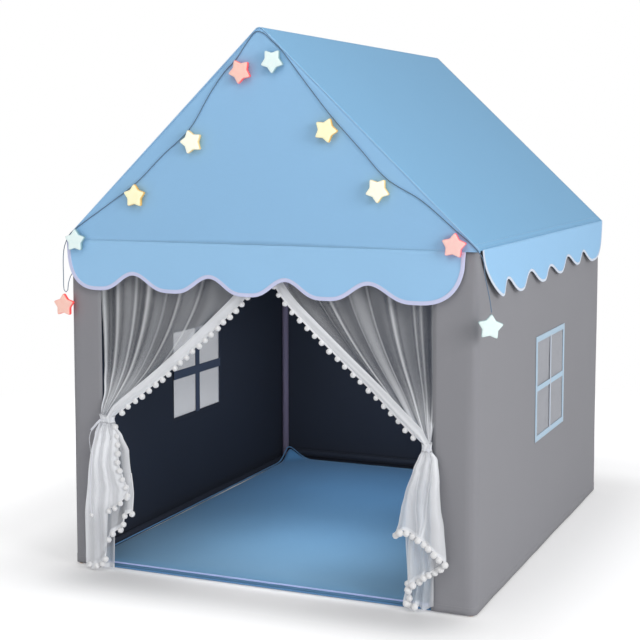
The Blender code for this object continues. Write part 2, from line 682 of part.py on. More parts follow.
switch_recess = box("battery_switch_recess",
                    (BOX_FACE_X - SWITCH_PROUD, BOX_MID_Y - switch_reach,
                     SWITCH_Z - SWITCH_HEIGHT / 2 - BOX_PLAY),
                    (BOX_FACE_X + BOX_PLAY, BOX_MID_Y + switch_reach,
                     SWITCH_Z + SWITCH_HEIGHT / 2 + BOX_PLAY), None)
cut(battery_box, cover_recess, cell_recess, switch_recess)

box("battery_cover", (COVER_FLOOR_X + BOX_PLAY, BOX_MID_Y - COVER_WIDTH / 2, BOX_BOTTOM),
    (BOX_FACE_X, BOX_MID_Y + COVER_WIDTH / 2, BOX_BOTTOM + COVER_HEIGHT),
    material("battery_cover", BOX_WHITE, 0.4),
    (BOX_FACE_X, BOX_MID_Y, BOX_BOTTOM))
SWITCH_MIN_Y = BOX_MID_Y - switch_reach + BOX_PLAY
box("battery_switch", (BOX_FACE_X - SWITCH_PROUD + BOX_PLAY, SWITCH_MIN_Y, SWITCH_Z - SWITCH_HEIGHT / 2),
    (BOX_FACE_X + SWITCH_PROUD, SWITCH_MIN_Y + SWITCH_LENGTH, SWITCH_Z + SWITCH_HEIGHT / 2),
    material("battery_switch", CORD_GREY, 0.5), (BOX_FACE_X, SWITCH_MIN_Y, SWITCH_Z))
rod("battery_cell", (COVER_FLOOR_X - CELL_THICKNESS - BOX_PLAY, BOX_MID_Y, CELL_Z),
    (COVER_FLOOR_X - BOX_PLAY, BOX_MID_Y, CELL_Z), CELL_RADIUS,
    material("battery_cell", CELL_STEEL, 0.3, 1.0), sides=CELL_SIDES)


# Star lights: each star hangs by one point, in front of the cord that runs over the gable

CORD_Y = -ROOF_FACE - CORD_TO_CLOTH - CORD_RADIUS
STAR_BACK = CORD_RADIUS + CLEARANCE


def gable_place(share, drop):
    """A place on the cord's plane: a share of the roof's half width, and a drop under its slope."""
    x = share * ROOF_HALF
    return Vector((x, CORD_Y, roof_height(x) - drop))


# Middle of each star, the lean of its upper point towards +X, the turn of its face, and its colour
STARS = [
    (gable_place(-1.003, 0.165), 0, 0, STAR_RED),
    (gable_place(-0.937, 0.037), 0, 0, STAR_MINT),
    (gable_place(-0.619, 0.086), 0, 0, STAR_YELLOW),
    (gable_place(-0.326, 0.104), -17, 0, STAR_PALE),
    (gable_place(-0.084, 0.064), -28, 0, STAR_RED),
    (gable_place(0.070, 0.049), 36, 0, STAR_MINT),
    (gable_place(0.320, 0.081), 22, 0, STAR_YELLOW),
    (gable_place(0.555, 0.096), 36, 0, STAR_PALE),
    (gable_place(0.892, 0.045), 6, 0, STAR_PINK),
    (gable_place(1.046, 0.142) + Vector((0.0, -CORD_RADIUS, 0.0)), 5, 20, STAR_MINT),
]


def star_outline():
    """A five-pointed star with rounded points, its upper point at the pivot."""
    points = []
    half_turn = math.pi / 5
    for i in range(5):
        middle = 2 * half_turn * i
        tip = Vector((math.sin(middle), math.cos(middle)))
        before = Vector((math.sin(middle - half_turn), math.cos(middle - half_turn))) * STAR_NOTCH
        after = Vector((math.sin(middle + half_turn), math.cos(middle + half_turn))) * STAR_NOTCH
        rounding = STAR_TIP_ROUNDING / STAR_RADIUS
        points.append(tip + (before - tip).normalized() * rounding)
        points.append(tip * (1.0 - rounding / 4))
        points.append(tip + (after - tip).normalized() * rounding)
        points.append(after)
    return [p * STAR_RADIUS for p in points]


def star_pivot(middle, lean):
    reach = STAR_RADIUS + STAR_TIP_DROP
    return middle + Vector((math.sin(math.radians(lean)), 0.0, math.cos(math.radians(lean)))) * reach


# A star's layers from back to front, as (inset of its outline, share of its thickness)
STAR_LAYERS = [(STAR_EDGE, 0.0), (0.0, 0.25), (0.0, 0.75), (STAR_EDGE, 1.0)]
for number, (middle, lean, turn, colour) in enumerate(STARS, start=1):
    pivot = star_pivot(middle, lean)
    turned = Matrix.Rotation(math.radians(turn), 3, "Z") @ Matrix.Rotation(math.radians(lean), 3, "Y")
    rings = []
    for inset, level in STAR_LAYERS:
        shrink = 1.0 - inset / STAR_RADIUS
        depth = -STAR_BACK - level * STAR_THICKNESS
        ring = []
        for a, b in star_outline():
            local = Vector((a * shrink, depth, b * shrink - STAR_RADIUS - STAR_TIP_DROP))
            ring.append(pivot + turned @ local)
        rings.append(ring)
    ring_solid(f"star_{number:02d}", rings, material(f"star_{number:02d}", colour, 0.35), pivot)


# The cord of the lights: out of the battery box, round the door's jamb, up to the left eave, over
# the gable from star to star, and down at the right corner

PIVOTS = [star_pivot(middle, lean) for middle, lean, turn, colour in STARS]
BEHIND_VALANCE = -HALF_DEPTH - 2 * CORD_RADIUS
BOX_EXIT = Vector((BOX_WALL_X + BOX_THICKNESS / 2, BOX_MID_Y, BOX_TOP + CLEARANCE))
SLOT = Vector((-DOOR_HALF + CURTAIN_JAMB_GAP / 2, BEHIND_VALANCE, CURTAIN_TOP))
LEAD = [
    BOX_EXIT,
    BOX_EXIT + Vector((0.0000, 0.0000, 0.0135)),
    BOX_EXIT + Vector((0.0015, -0.0018, 0.0425)),
    BOX_EXIT + Vector((0.0135, -0.0088, 0.0785)),
    SLOT + Vector((-0.0395, 0.0290, -0.0486)),
    SLOT + Vector((-0.0115, 0.0170, -0.0436)),
    SLOT + Vector((0.0000, 0.0075, -0.0441)),
    SLOT + Vector((-0.0020, 0.0010, -0.0461)),
    SLOT + Vector((-0.0155, 0.0000, -0.0516)),
    SLOT + Vector((-0.0505, 0.0000, -0.0626)),
    SLOT + Vector((-0.0825, -0.0010, -0.0776)),
]
LEFT_DROP = [
    PIVOTS[0] + Vector((0.0065, 0.0015, 0.022)),
    PIVOTS[0] + Vector((0.0052, 0.0004, 0.0055)),
    PIVOTS[0],
    PIVOTS[0] + Vector((-0.0052, -0.0004, 0.0055)),
    PIVOTS[0] + Vector((-0.0060, -0.0008, 0.030)),
    PIVOTS[0] + Vector((-0.0040, -0.0004, 0.105)),
    PIVOTS[1] + Vector((-0.0230, 0.0, -0.019)),
]
OVER_GABLE = [
    PIVOTS[1],
    gable_place(-0.790, 0.029),
    PIVOTS[2],
    gable_place(-0.485, 0.058),
    PIVOTS[3],
    gable_place(-0.240, 0.035),
    gable_place(-0.170, 0.022),
    PIVOTS[4],
    gable_place(-0.062, 0.012),
    gable_place(-0.016, 0.008),
    gable_place(0.022, 0.009),
    gable_place(0.062, 0.007),
    PIVOTS[5],
    gable_place(0.220, 0.024),
    PIVOTS[6],
    gable_place(0.468, 0.047),
    PIVOTS[7],
    gable_place(0.745, 0.022),
    PIVOTS[8],
    gable_place(0.962, 0.006),
]
RIGHT_DROP = [
    gable_place(1.012, 0.012),
    gable_place(1.021, 0.042) + Vector((0.0, -0.0006, 0.0)),
    PIVOTS[9] + Vector((-0.0120, 0.0008, 0.062)),
    PIVOTS[9] + Vector((-0.0040, 0.0002, 0.026)),
    PIVOTS[9],
]
CORD_ROUTE = LEAD + LEFT_DROP + OVER_GABLE + RIGHT_DROP


def smooth_path(route, gap):
    """Points about a gap apart on a smooth curve that passes through every point of the route."""
    ends = [route[0] * 2 - route[1], *route, route[-1] * 2 - route[-2]]
    path = []
    for before, a, b, after in zip(ends, ends[1:], ends[2:], ends[3:]):
        span = (b - a).length
        leave = (b - before) * span / (span + (a - before).length)
        arrive = (after - a) * span / (span + (after - b).length)
        steps = max(1, round(span / gap))
        for i in range(steps):
            t = i / steps
            path.append(a * (2 * t ** 3 - 3 * t ** 2 + 1) + b * (3 * t ** 2 - 2 * t ** 3)
                        + leave * (t ** 3 - 2 * t ** 2 + t) + arrive * (t ** 3 - t ** 2))
    return path + [route[-1]]


cord_curve = bpy.data.curves.new("light_cord", "CURVE")
cord_curve.dimensions = "3D"
cord_curve.bevel_depth = CORD_RADIUS
cord_curve.bevel_resolution = 2
cord_curve.use_fill_caps = True
cord_path = smooth_path(CORD_ROUTE, CORD_POINT_GAP)
cord_line = cord_curve.splines.new("POLY")
cord_line.points.add(len(cord_path) - 1)
for point, place in zip(cord_line.points, cord_path):
    point.co = (*place, 1.0)
light_cord = bpy.data.objects.new("light_cord", cord_curve)
bpy.context.scene.collection.objects.link(light_cord)
cord_curve.materials.append(material("light_cord", CORD_GREY, 0.5))
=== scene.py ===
# A play tent like a small house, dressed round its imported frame: the poles and connectors, the cloth
# cover with its windows, roof and scalloped valances, the tied-back door curtains, the floor mat and
# the string of star lights. Metres, +Z up, the door faces -Y and +X is to the right of it.

import math

import bmesh
import bpy
from mathutils import Matrix, Vector, noise


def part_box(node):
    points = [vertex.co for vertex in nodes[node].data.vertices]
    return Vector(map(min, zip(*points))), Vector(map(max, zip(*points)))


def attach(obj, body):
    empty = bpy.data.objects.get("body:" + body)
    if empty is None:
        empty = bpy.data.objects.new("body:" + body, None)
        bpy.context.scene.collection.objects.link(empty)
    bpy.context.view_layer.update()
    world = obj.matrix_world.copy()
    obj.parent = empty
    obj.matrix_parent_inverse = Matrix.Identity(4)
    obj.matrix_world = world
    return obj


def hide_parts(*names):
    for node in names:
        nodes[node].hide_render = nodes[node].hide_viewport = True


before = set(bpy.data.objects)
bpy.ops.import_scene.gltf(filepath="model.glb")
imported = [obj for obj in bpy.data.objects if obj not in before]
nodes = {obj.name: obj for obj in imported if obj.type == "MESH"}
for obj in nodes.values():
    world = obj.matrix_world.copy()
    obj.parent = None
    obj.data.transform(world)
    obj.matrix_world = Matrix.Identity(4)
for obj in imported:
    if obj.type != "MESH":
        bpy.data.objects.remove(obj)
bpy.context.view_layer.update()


# Poles: 19 mm pine dowels, lightly sanded and left bare. They stand inside the cover and are seen
# through the door and the net windows, with the grain along each pole.

class Socket:
    """A socket in a tree of nodes: sums on it add Math nodes, and node() adds any other node."""

    def __init__(self, tree, socket=None):
        self.tree = tree
        self.socket = socket

    def node(self, kind, settings, sockets, output=0):
        made = self.tree.nodes.new(kind)
        for name, value in settings.items():
            if name == "stops":
                for element, (place, colour) in zip(made.color_ramp.elements, value):
                    element.position = place
                    element.color = (*colour, 1.0)
            else:
                setattr(made, name, value)
        for name, value in sockets.items():
            if isinstance(value, Socket):
                self.tree.links.new(value.socket, made.inputs[name])
            elif made.inputs[name].type == "RGBA":
                made.inputs[name].default_value = (*value, 1.0)
            else:
                made.inputs[name].default_value = value
        return Socket(self.tree, made.outputs[output])

    def maths(self, operation, first, second=0.0):
        return self.node("ShaderNodeMath", {"operation": operation}, {0: first, 1: second})

    def __add__(self, other):
        return self.maths("ADD", self, other)

    def __sub__(self, other):
        return self.maths("SUBTRACT", self, other)

    def __rsub__(self, other):
        return self.maths("SUBTRACT", other, self)

    def __mul__(self, other):
        return self.maths("MULTIPLY", self, other)

    __radd__ = __add__
    __rmul__ = __mul__

    def blend(self, low, high):
        """A colour that goes from low to high as this socket goes from 0 to 1."""
        return self.node("ShaderNodeMix", {"data_type": "RGBA"}, {0: self, 6: low, 7: high}, 2)


def material(name, constants, paint):
    """A finish: constants go on the shader's own sockets, and paint gives what varies over a surface."""
    made = bpy.data.materials.new(name)
    made.use_nodes = True
    tree = made.node_tree
    shader = tree.nodes["Principled BSDF"]
    for socket, value in constants.items():
        shader.inputs[socket].default_value = value
    for socket, value in paint(Socket(tree)).items():
        tree.links.new(value.socket, shader.inputs[socket])
    return made


def dye(red, green, blue):
    """A colour as the eye reads it, 0 to 255, turned into the light that it sends back."""
    return tuple(((c / 255 + 0.055) / 1.055) ** 2.4 for c in (red, green, blue))


def own_place(shade):
    return shade.node("ShaderNodeTexCoord", {}, {}, "Object")


def stretched(place, stretch):
    return place.node("ShaderNodeVectorMath", {"operation": "MULTIPLY"}, {0: place, 1: stretch})


def cloud(place, scale, detail=2.0):
    return place.node("ShaderNodeTexNoise", {}, {"Vector": place, "Scale": scale, "Detail": detail})


def bump(height, distance, strength=1.0):
    return height.node("ShaderNodeBump", {}, {"Height": height, "Distance": distance, "Strength": strength})


def pine(name, along):
    turn = Vector(along).rotation_difference(Vector((0.0, 0.0, 1.0))).to_euler()

    def paint(shade):
        upright = shade.node("ShaderNodeMapping", {}, {"Vector": own_place(shade), "Rotation": turn})
        grain_place = stretched(upright, (120.0, 120.0, 4.0))
        grain = cloud(grain_place, 1.0, 3.0)
        fibre = cloud(grain_place, 9.0)
        stops = [(0.36, dye(226, 190, 142)), (0.64, dye(188, 142, 92))]
        colour = shade.node("ShaderNodeValToRGB", {"stops": stops}, {"Fac": grain})
        return {"Base Color": colour, "Roughness": 0.45 + 0.25 * fibre,
                "Normal": bump(grain + 0.4 * fibre, 0.0004)}

    return material(name, {}, paint)


def refinish(node, finish):
    node.data.materials.clear()
    node.data.materials.append(finish)


rafter_low, rafter_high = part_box("rafter_front_right")
rafter_run = (rafter_high.x - rafter_low.x, 0.0, rafter_low.z - rafter_high.z)
# Which way the grain runs, by how a pole's name starts
POLE_WAYS = {"upright": (0, 0, 1), "base_rail_rear": (1, 0, 0), "base_rail": (0, 1, 0),
             "eave_rail_front": (1, 0, 0), "eave_rail_rear": (1, 0, 0), "eave_rail": (0, 1, 0),
             "ridge_pole": (0, 1, 0), "rafter_front_right": rafter_run, "rafter_rear_right": rafter_run,
             "rafter": (-rafter_run[0], 0.0, rafter_run[2])}
pole_finishes = {start: pine(f"{start}_pine", way) for start, way in POLE_WAYS.items()}
for node_name, node in nodes.items():
    for start in POLE_WAYS:
        if node_name.startswith(start):
            refinish(node, pole_finishes[start])
            break


# Connectors: moulded white plastic, a ball hub with one socket for each pole, slightly frosted and unevenly
# scuffed all over.

def tinted(pattern, colour, low, high=1.0):
    """A colour made dimmer or brighter: times low where the pattern is 0, and times high where it is 1."""
    return pattern.blend(tuple(c * low for c in colour), tuple(c * high for c in colour))


def moulded(name, colour, roughness):
    def paint(shade):
        frost = cloud(own_place(shade), 900.0)
        return {"Base Color": tinted(cloud(own_place(shade), 30.0), colour, 0.86),
                "Roughness": roughness + 0.16 * (frost - 0.5), "Normal": bump(frost, 0.00012)}

    return material(name, {}, paint)


connector_plastic = moulded("connector_plastic", dye(226, 226, 222), 0.42)
for node_name, node in nodes.items():
    if "connector" in node_name:
        refinish(node, connector_plastic)


# Walls: one band of grey polyester sewn round the four corner poles from door jamb to door jamb. It
# is lined in dark navy, has a net window in each side, and is hemmed at the floor and at the jambs.

def part_of(place, axis):
    return place.node("ShaderNodeSeparateXYZ", {}, {"Vector": place}, axis)


def cloth_ways(shade):
    """How far across and along its flat cloth a place is, in metres."""
    pattern = shade.node("ShaderNodeUVMap", {"uv_map": "weave"}, {}, "UV")
    return part_of(pattern, "X"), part_of(pattern, "Y")


def woven(name, colour, thread=0.0011, tone=0.07, soil=0.0, sheen=0.04):
    """Plain woven cloth: threads that follow the sheet's own pattern, uneven dye, soft creases and dust."""
    def paint(shade):
        warp, weft = [shade.maths("SINE", way * (math.tau / thread)) for way in cloth_ways(shade)]
        weave = 0.5 + 0.5 * warp * weft
        place = own_place(shade)
        slub = cloud(stretched(place, (90.0, 90.0, 400.0)), 1.0, 1.0)
        mix = 0.5 * cloud(place, 2.6, 3.0) + 0.25 * slub + 0.25 * weave
        if soil:
            dust = shade.node("ShaderNodeMapRange", {"clamp": True},
                              {0: part_of(place, "Z"), 1: 0.0, 2: 0.09, 3: soil, 4: 0.0})
            mix = mix - dust * cloud(place, 24.0, 3.0)
        height = 0.0001 * weave + 0.0022 * cloud(place, 7.0, 3.0)
        return {"Base Color": tinted(mix, colour, 1.0 - tone, 1.0 + tone), "Roughness": 0.74 + 0.14 * slub,
                "Normal": bump(height, 1.0, 0.7)}

    return material(name, {"Sheen Weight": sheen, "Sheen Roughness": 0.5, "Specular IOR Level": 0.15}, paint)


def marks(stops, gap):
    """Values about a gap apart that run through every stop, in order."""
    values = [stops[0]]
    for start, end in zip(stops, stops[1:]):
        count = max(1, math.ceil(abs(end - start) / gap))
        values += [start + (end - start) * (i + 1) / count for i in range(count)]
    return values


def put_in(name, data):
    """Puts an object with this data into the scene."""
    made = bpy.data.objects.new(name, data)
    bpy.context.scene.collection.objects.link(made)
    return made


def join_up(name, data, body):
    """Makes a piece that rides on a body."""
    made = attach(put_in(name, data), body)
    return made


def dress(name, shape, finishes, body="root"):
    """Turns a shape into a piece."""
    data = bpy.data.meshes.new(name)
    shape.to_mesh(data)
    shape.free()
    for finish in finishes:
        data.materials.append(finish)
    return join_up(name, data, body)


def sewn_sheet(name, columns, rows, place, pattern, finishes, thickness=0.0, is_open=None, cover=None,
               body="root"):
    """A sheet of cloth on a grid: one layer, or with a thickness a closed one whose back is its lining.

    place(i, j, depth) is where it lies, pattern(i, j) the place in the flat cloth, cover(i, j) how dense
    the cloth is, and is_open(i, j) says that a cell is cut out."""
    shape = bmesh.new()
    weave = shape.loops.layers.uv.new("weave")
    density = shape.verts.layers.float.new("cover")
    depths = [0.0, thickness] if thickness else [0.0]
    grids = []
    for depth in depths:
        grid = [[shape.verts.new(place(i, j, depth)) for i in range(columns + 1)] for j in range(rows + 1)]
        for j, line in enumerate(grid):
            for i, vertex in enumerate(line):
                vertex[density] = cover(i, j) if cover else 1.0
        grids.append(grid)
    cells = {(i, j) for j in range(rows) for i in range(columns) if not (is_open and is_open(i, j))}

    def add_face(corners, finish):
        made = shape.faces.new([grids[layer][j][i] for layer, i, j in corners])
        made.material_index = min(finish, len(finishes) - 1)
        made.smooth = True
        for loop, (layer, i, j) in zip(made.loops, corners):
            loop[weave].uv = pattern(i, j)

    for i, j in sorted(cells):
        square = [(i, j), (i + 1, j), (i + 1, j + 1), (i, j + 1)]
        for layer in range(len(depths)):
            add_face([(layer, *corner) for corner in square], layer)
        if not thickness:
            continue
        neighbours = [(i, j - 1), (i + 1, j), (i, j + 1), (i - 1, j)]
        for number, neighbour in enumerate(neighbours):
            if neighbour not in cells:
                start, end = square[number], square[(number + 1) % 4]
                add_face([(0, *start), (0, *end), (1, *end), (1, *start)], 0)
    loose = [v for v in shape.verts if not v.link_faces]
    bmesh.ops.delete(shape, geom=loose, context="VERTS")
    bmesh.ops.recalc_face_normals(shape, faces=shape.faces)
    return dress(name, shape, finishes, body)


def path_object(name, paths):
    """The lines that a row of stitches, a braid or a piping follows, as the edges of a mesh."""
    vertices, edges = [], []
    for points in paths:
        first = len(vertices)
        vertices += [tuple(p) for p in points]
        edges += [(first + k, first + k + 1) for k in range(len(points) - 1)]
    data = bpy.data.meshes.new(name)
    data.from_pydata(vertices, edges, [])
    return put_in(name, data)


def new_tree(name, inputs):
    """An empty tree of Geometry Nodes with its inputs, and its start and end."""
    tree = bpy.data.node_groups.new(name, "GeometryNodeTree")
    tree.interface.new_socket("Path", in_out="INPUT", socket_type="NodeSocketGeometry")
    for label, kind in inputs.items():
        tree.interface.new_socket(label, in_out="INPUT", socket_type=f"NodeSocket{kind}")
    tree.interface.new_socket("Trim", in_out="OUTPUT", socket_type="NodeSocketGeometry")
    start = tree.nodes.new("NodeGroupInput")
    given = {socket.name: Socket(tree, socket) for socket in start.outputs if socket.name}
    return tree, given, Socket(tree)


def close_tree(tree, geometry, finish):
    """Ends a tree: smooth, real faces in their finish."""
    real = geometry.node("GeometryNodeRealizeInstances", {}, {"Geometry": geometry})
    smooth = real.node("GeometryNodeSetShadeSmooth", {}, {"Geometry": real})
    dressed = smooth.node("GeometryNodeSetMaterial", {}, {"Geometry": smooth, "Material": finish})
    end = tree.nodes.new("NodeGroupOutput")
    tree.links.new(dressed.socket, end.inputs["Trim"])


def grow(tree, name, slot, paths, body="root", **sizes):
    """Runs a tree on some paths and keeps what it makes as a piece with a plain mesh."""
    source = path_object(f"{name}_path", paths)
    step = source.modifiers.new(tree.name, "NODES")
    step.node_group = tree
    for item in tree.interface.items_tree:
        if item.in_out == "INPUT" and item.name in sizes:
            step[item.identifier] = sizes[item.name]
    graph = bpy.context.evaluated_depsgraph_get()
    data = bpy.data.meshes.new_from_object(source.evaluated_get(graph), depsgraph=graph)
    data.name = name
    bpy.data.objects.remove(source)
    return join_up(name, data, body)


def spaced_points(given):
    """Points along a tree's path, one pitch apart."""
    path, pitch = given["Path"], given["Pitch"]
    line = path.node("GeometryNodeMeshToCurve", {}, {"Mesh": path})
    return path.node("GeometryNodeResampleCurve", {"mode": "LENGTH"}, {"Curve": line, "Length": pitch})


stitch_tree, given, start = new_tree("stitch_row", {"Pitch": "Float", "Length": "Float", "Thread": "Float",
                                                    "Finish": "Material"})
points = spaced_points(given)
along = start.node("GeometryNodeInputTangent", {}, {})
turned = start.node("FunctionNodeAlignRotationToVector", {"axis": "Z"}, {"Vector": along})
bead = start.node("GeometryNodeMeshUVSphere", {}, {"Segments": 6, "Rings": 4, "Radius": 0.5})
size = start.node("ShaderNodeCombineXYZ", {}, {0: given["Thread"], 1: given["Thread"], 2: given["Length"]})
stitch = start.node("GeometryNodeTransform", {}, {"Geometry": bead, "Scale": size})
row = start.node("GeometryNodeInstanceOnPoints", {},
                 {"Points": points, "Instance": stitch, "Rotation": turned})
close_tree(stitch_tree, row, given["Finish"])

trim_tree, given, start = new_tree("flat_trim", {"Width": "Float", "Thickness": "Float", "Facing": "Vector",
                                                 "Finish": "Material"})
line = start.node("GeometryNodeMeshToCurve", {}, {"Mesh": given["Path"]})
faced = start.node("GeometryNodeSetCurveNormal", {"mode": "FREE"}, {"Curve": line, "Normal": given["Facing"]})
section = start.node("GeometryNodeCurvePrimitiveQuadrilateral", {},
                     {"Width": given["Thickness"], "Height": given["Width"]})
rounded = start.node("GeometryNodeFilletCurve", {"mode": "POLY"},
                     {"Curve": section, "Count": 3, "Radius": 0.45 * given["Thickness"]})
band = start.node("GeometryNodeCurveToMesh", {},
                  {"Curve": faced, "Profile Curve": rounded, "Fill Caps": True})
close_tree(trim_tree, band, given["Finish"])


def grained(name, colour, grain, shares, rough, relief, constants):
    """A finish with one fine grain: shares of its colour, its roughness and more of it, and its relief."""
    def paint(shade):
        pattern = grain(own_place(shade))
        return {"Base Color": tinted(pattern, colour, *shares), "Roughness": rough[0] + rough[1] * pattern,
                "Normal": bump(pattern, relief)}

    return material(name, constants, paint)


def sewing_thread(name, colour):
    def twist(place):
        return place.node("ShaderNodeTexWave", {}, {"Vector": place, "Scale": 700.0, "Distortion": 1.5})

    return grained(name, colour, twist, (0.8, 1.0), (0.5, 0.2), 0.0001, {"Sheen Weight": 0.2})


STITCH = {"Pitch": 0.0042, "Length": 0.0032, "Thread": 0.0007}
grey_thread = sewing_thread("grey_thread", dye(165, 165, 170))
wall_grey = woven("wall_grey", dye(148, 148, 153), soil=0.25)
lining_navy = woven("lining_navy", dye(46, 52, 65), thread=0.0013, tone=0.12, sheen=0.0)

WALL_CLOTH = 0.0014
WALL_SLACK = 0.0022
WALL_RIPPLE = 0.0010
WALL_REST = 0.0008
HEM = 0.022
HEM_STEP = 0.0006
wall_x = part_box("wall_right")[1].x
wall_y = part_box("wall_rear")[1].y
hem_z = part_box("wall_rear")[0].z
wall_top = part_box("wall_rear")[1].z
jamb_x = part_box("wall_front_right")[0].x
post_low, post_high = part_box("upright_rear_right")
post = (post_low + post_high) / 2
corner_reach = wall_x - post.x

SIDES = {"left": -1, "right": 1}
WINDOW_TAPE = 0.014
panes = {}
for x_name in SIDES:
    low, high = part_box(f"window_{x_name}")
    panes[x_name] = (low.y + WINDOW_TAPE, high.y - WINDOW_TAPE, low.z + WINDOW_TAPE, high.z - WINDOW_TAPE)

# Where the cloth's upright lines stand: distance along the cloth, place, way out, and wall
stations = []


def add_station(x, y, out, wall):
    place = Vector((x, y, 0.0))
    run = stations[-1][0] + (place - stations[-1][1]).length if stations else 0.0
    stations.append((run, place, Vector((*out, 0.0)), wall))


def add_corner(x, y, first_angle):
    for step in range(1, BEND_STEPS):
        angle = math.radians(first_angle - 90 * step / BEND_STEPS)
        out = (math.cos(angle), math.sin(angle))
        add_station(x + corner_reach * out[0], y + corner_reach * out[1], out, "corner")


BEND_STEPS = 8
CLOTH_GAP = 0.014
# The right jamb stands a little further in than the left one
RIGHT_JAMB = 0.422
for x in marks([-jamb_x, -jamb_x - HEM, -post.x], CLOTH_GAP):
    add_station(x, -wall_y, (0, -1), "front_left")
add_corner(-post.x, -post.y, 270)
for y in marks([-post.y, panes["left"][0], panes["left"][1], post.y], CLOTH_GAP):
    add_station(-wall_x, y, (-1, 0), "left")
add_corner(-post.x, post.y, 180)
for x in marks([-post.x, post.x], CLOTH_GAP):
    add_station(x, wall_y, (0, 1), "rear")
add_corner(post.x, post.y, 90)
for y in marks([post.y, panes["right"][1], panes["right"][0], -post.y], CLOTH_GAP):
    add_station(wall_x, y, (1, 0), "right")
add_corner(post.x, -post.y, 0)
for x in marks([post.x, RIGHT_JAMB + HEM, RIGHT_JAMB], CLOTH_GAP):
    add_station(x, -wall_y, (0, -1), "front_right")

pane_heights = sorted({z for pane in panes.values() for z in pane[2:]})
levels = marks([hem_z, hem_z + HEM, hem_z + HEM + 0.002, *pane_heights, wall_top], CLOTH_GAP)
whole_run = stations[-1][0]


def ease(t):
    t = min(max(t, 0.0), 1.0)
    return t * t * (3.0 - 2.0 * t)


def wall_swell(run, z, wall):
    """How far the cloth stands off its flat face: slack between the poles and long soft ripples."""
    held = ease((wall_top - z) / 0.12) * ease(min(run, whole_run - run) / 0.06)
    if wall == "corner":
        return 0.0
    slack = noise.noise(Vector((run * 2.1, z * 2.4, 3.0)))
    ripple = noise.noise(Vector((run * 9.0, z * 1.4, 8.0)))
    near_window = 1.0
    if wall in panes:
        low, high = panes[wall][0:2]
        middle = (panes[wall][2] + panes[wall][3]) / 2
        nearest = min(stations, key=lambda s: abs(s[0] - run))
        away = max(abs(nearest[1].y - (low + high) / 2) - (high - low) / 2, abs(z - middle) - 0.13)
        near_window = ease((away - 0.02) / 0.10)
    return held * near_window * (WALL_SLACK * slack + WALL_RIPPLE * ripple + WALL_REST)


swells = {}


def wall_place(i, j, depth):
    run, place, out, wall = stations[i]
    z = levels[j]
    if (i, j) not in swells:
        swells[i, j] = wall_swell(run, z, wall)
    thicker = HEM_STEP if z <= hem_z + HEM + 1e-6 or min(run, whole_run - run) <= HEM + 1e-6 else 0.0
    drop = 0.0012 * (1.0 + noise.noise(Vector((run * 5.0, 0.0, 0.0)))) if j == 0 else 0.0
    return place + out * (swells[i, j] + thicker - depth - WALL_REST) + Vector((0.0, 0.0, z + drop))


def wall_is_open(i, j):
    wall = stations[i][3]
    if wall not in panes or stations[i + 1][3] != wall:
        return False
    y = (stations[i][1].y + stations[i + 1][1].y) / 2
    z = (levels[j] + levels[j + 1]) / 2
    low_y, high_y, low_z, high_z = panes[wall]
    return low_y < y < high_y and low_z < z < high_z


wall_cloth = sewn_sheet("wall_cloth", len(stations) - 1, len(levels) - 1, wall_place,
                        lambda i, j: (stations[i][0], levels[j]), [wall_grey, lining_navy], WALL_CLOTH,
                        is_open=wall_is_open)
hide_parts("wall_left", "wall_right", "wall_rear", "wall_front_left", "wall_front_right")
pane_area = sum((high_y - low_y) * (high_z - low_z) for low_y, high_y, low_z, high_z in panes.values())
whole_run * (wall_top - hem_z) - pane_area

seam_height = Vector((0.0, 0.0, hem_z + HEM - 0.004))
hem_line = [place + out * wall_swell(run, hem_z + HEM, wall) + seam_height
            for run, place, out, wall in stations]
grow(stitch_tree, "wall_stitches", "wall_cloth", [hem_line], Finish=grey_thread, **STITCH)


# Windows: a pane of fine net in each side wall, edged with light blue tape whose corners are mitred,
# and two tapes crossed over it as glazing bars. The net is pale, so it shows light from inside.

def fine_net(name, colour, mesh_size, solid):
    """Knitted net: the holes between its threads let the light through."""
    def paint(shade):
        run, rise = cloth_ways(shade)
        across = shade.maths("SINE", (run + rise) * (math.pi / mesh_size))
        down = shade.maths("SINE", (run - rise) * (math.pi / mesh_size))
        threads = 1.0 - shade.maths("ABSOLUTE", across * down)
        haze = cloud(own_place(shade), 5.0)
        return {"Base Color": tinted(haze, colour, 0.9), "Roughness": 0.6 + 0.2 * threads,
                "Alpha": solid - 0.18 + 0.36 * threads, "Normal": bump(threads, 0.0003)}

    return material(name, {}, paint)


TAPE_THICKNESS = 0.0014
BAR_THICKNESS = 0.0011
# How far the bars and the net run on past the edges of the pane
BAR_LAP = 0.003
NET_LAP = 0.001
BAR_ACROSS = 0.014
BAR_UP = 0.010
# Width of the dark slate strips laid behind the bars, inside the net: painted shade of the bars, which look
# dark from inside against the lit net
BAR_SHADE_WIDTH = {"left": 0.025, "right": 0.010}
tape_blue = woven("tape_blue", dye(188, 213, 232), thread=0.0009, tone=0.05)
tape_pale = woven("tape_pale", dye(205, 214, 226), thread=0.0009, tone=0.05)
pale_thread = sewing_thread("pale_thread", dye(225, 230, 240))
window_net = fine_net("window_net", dye(195, 197, 204), 0.0016, 0.776)
bar_shade_slate = woven("bar_shade_slate", dye(70, 80, 100), thread=0.0011, tone=0.08, sheen=0.0)


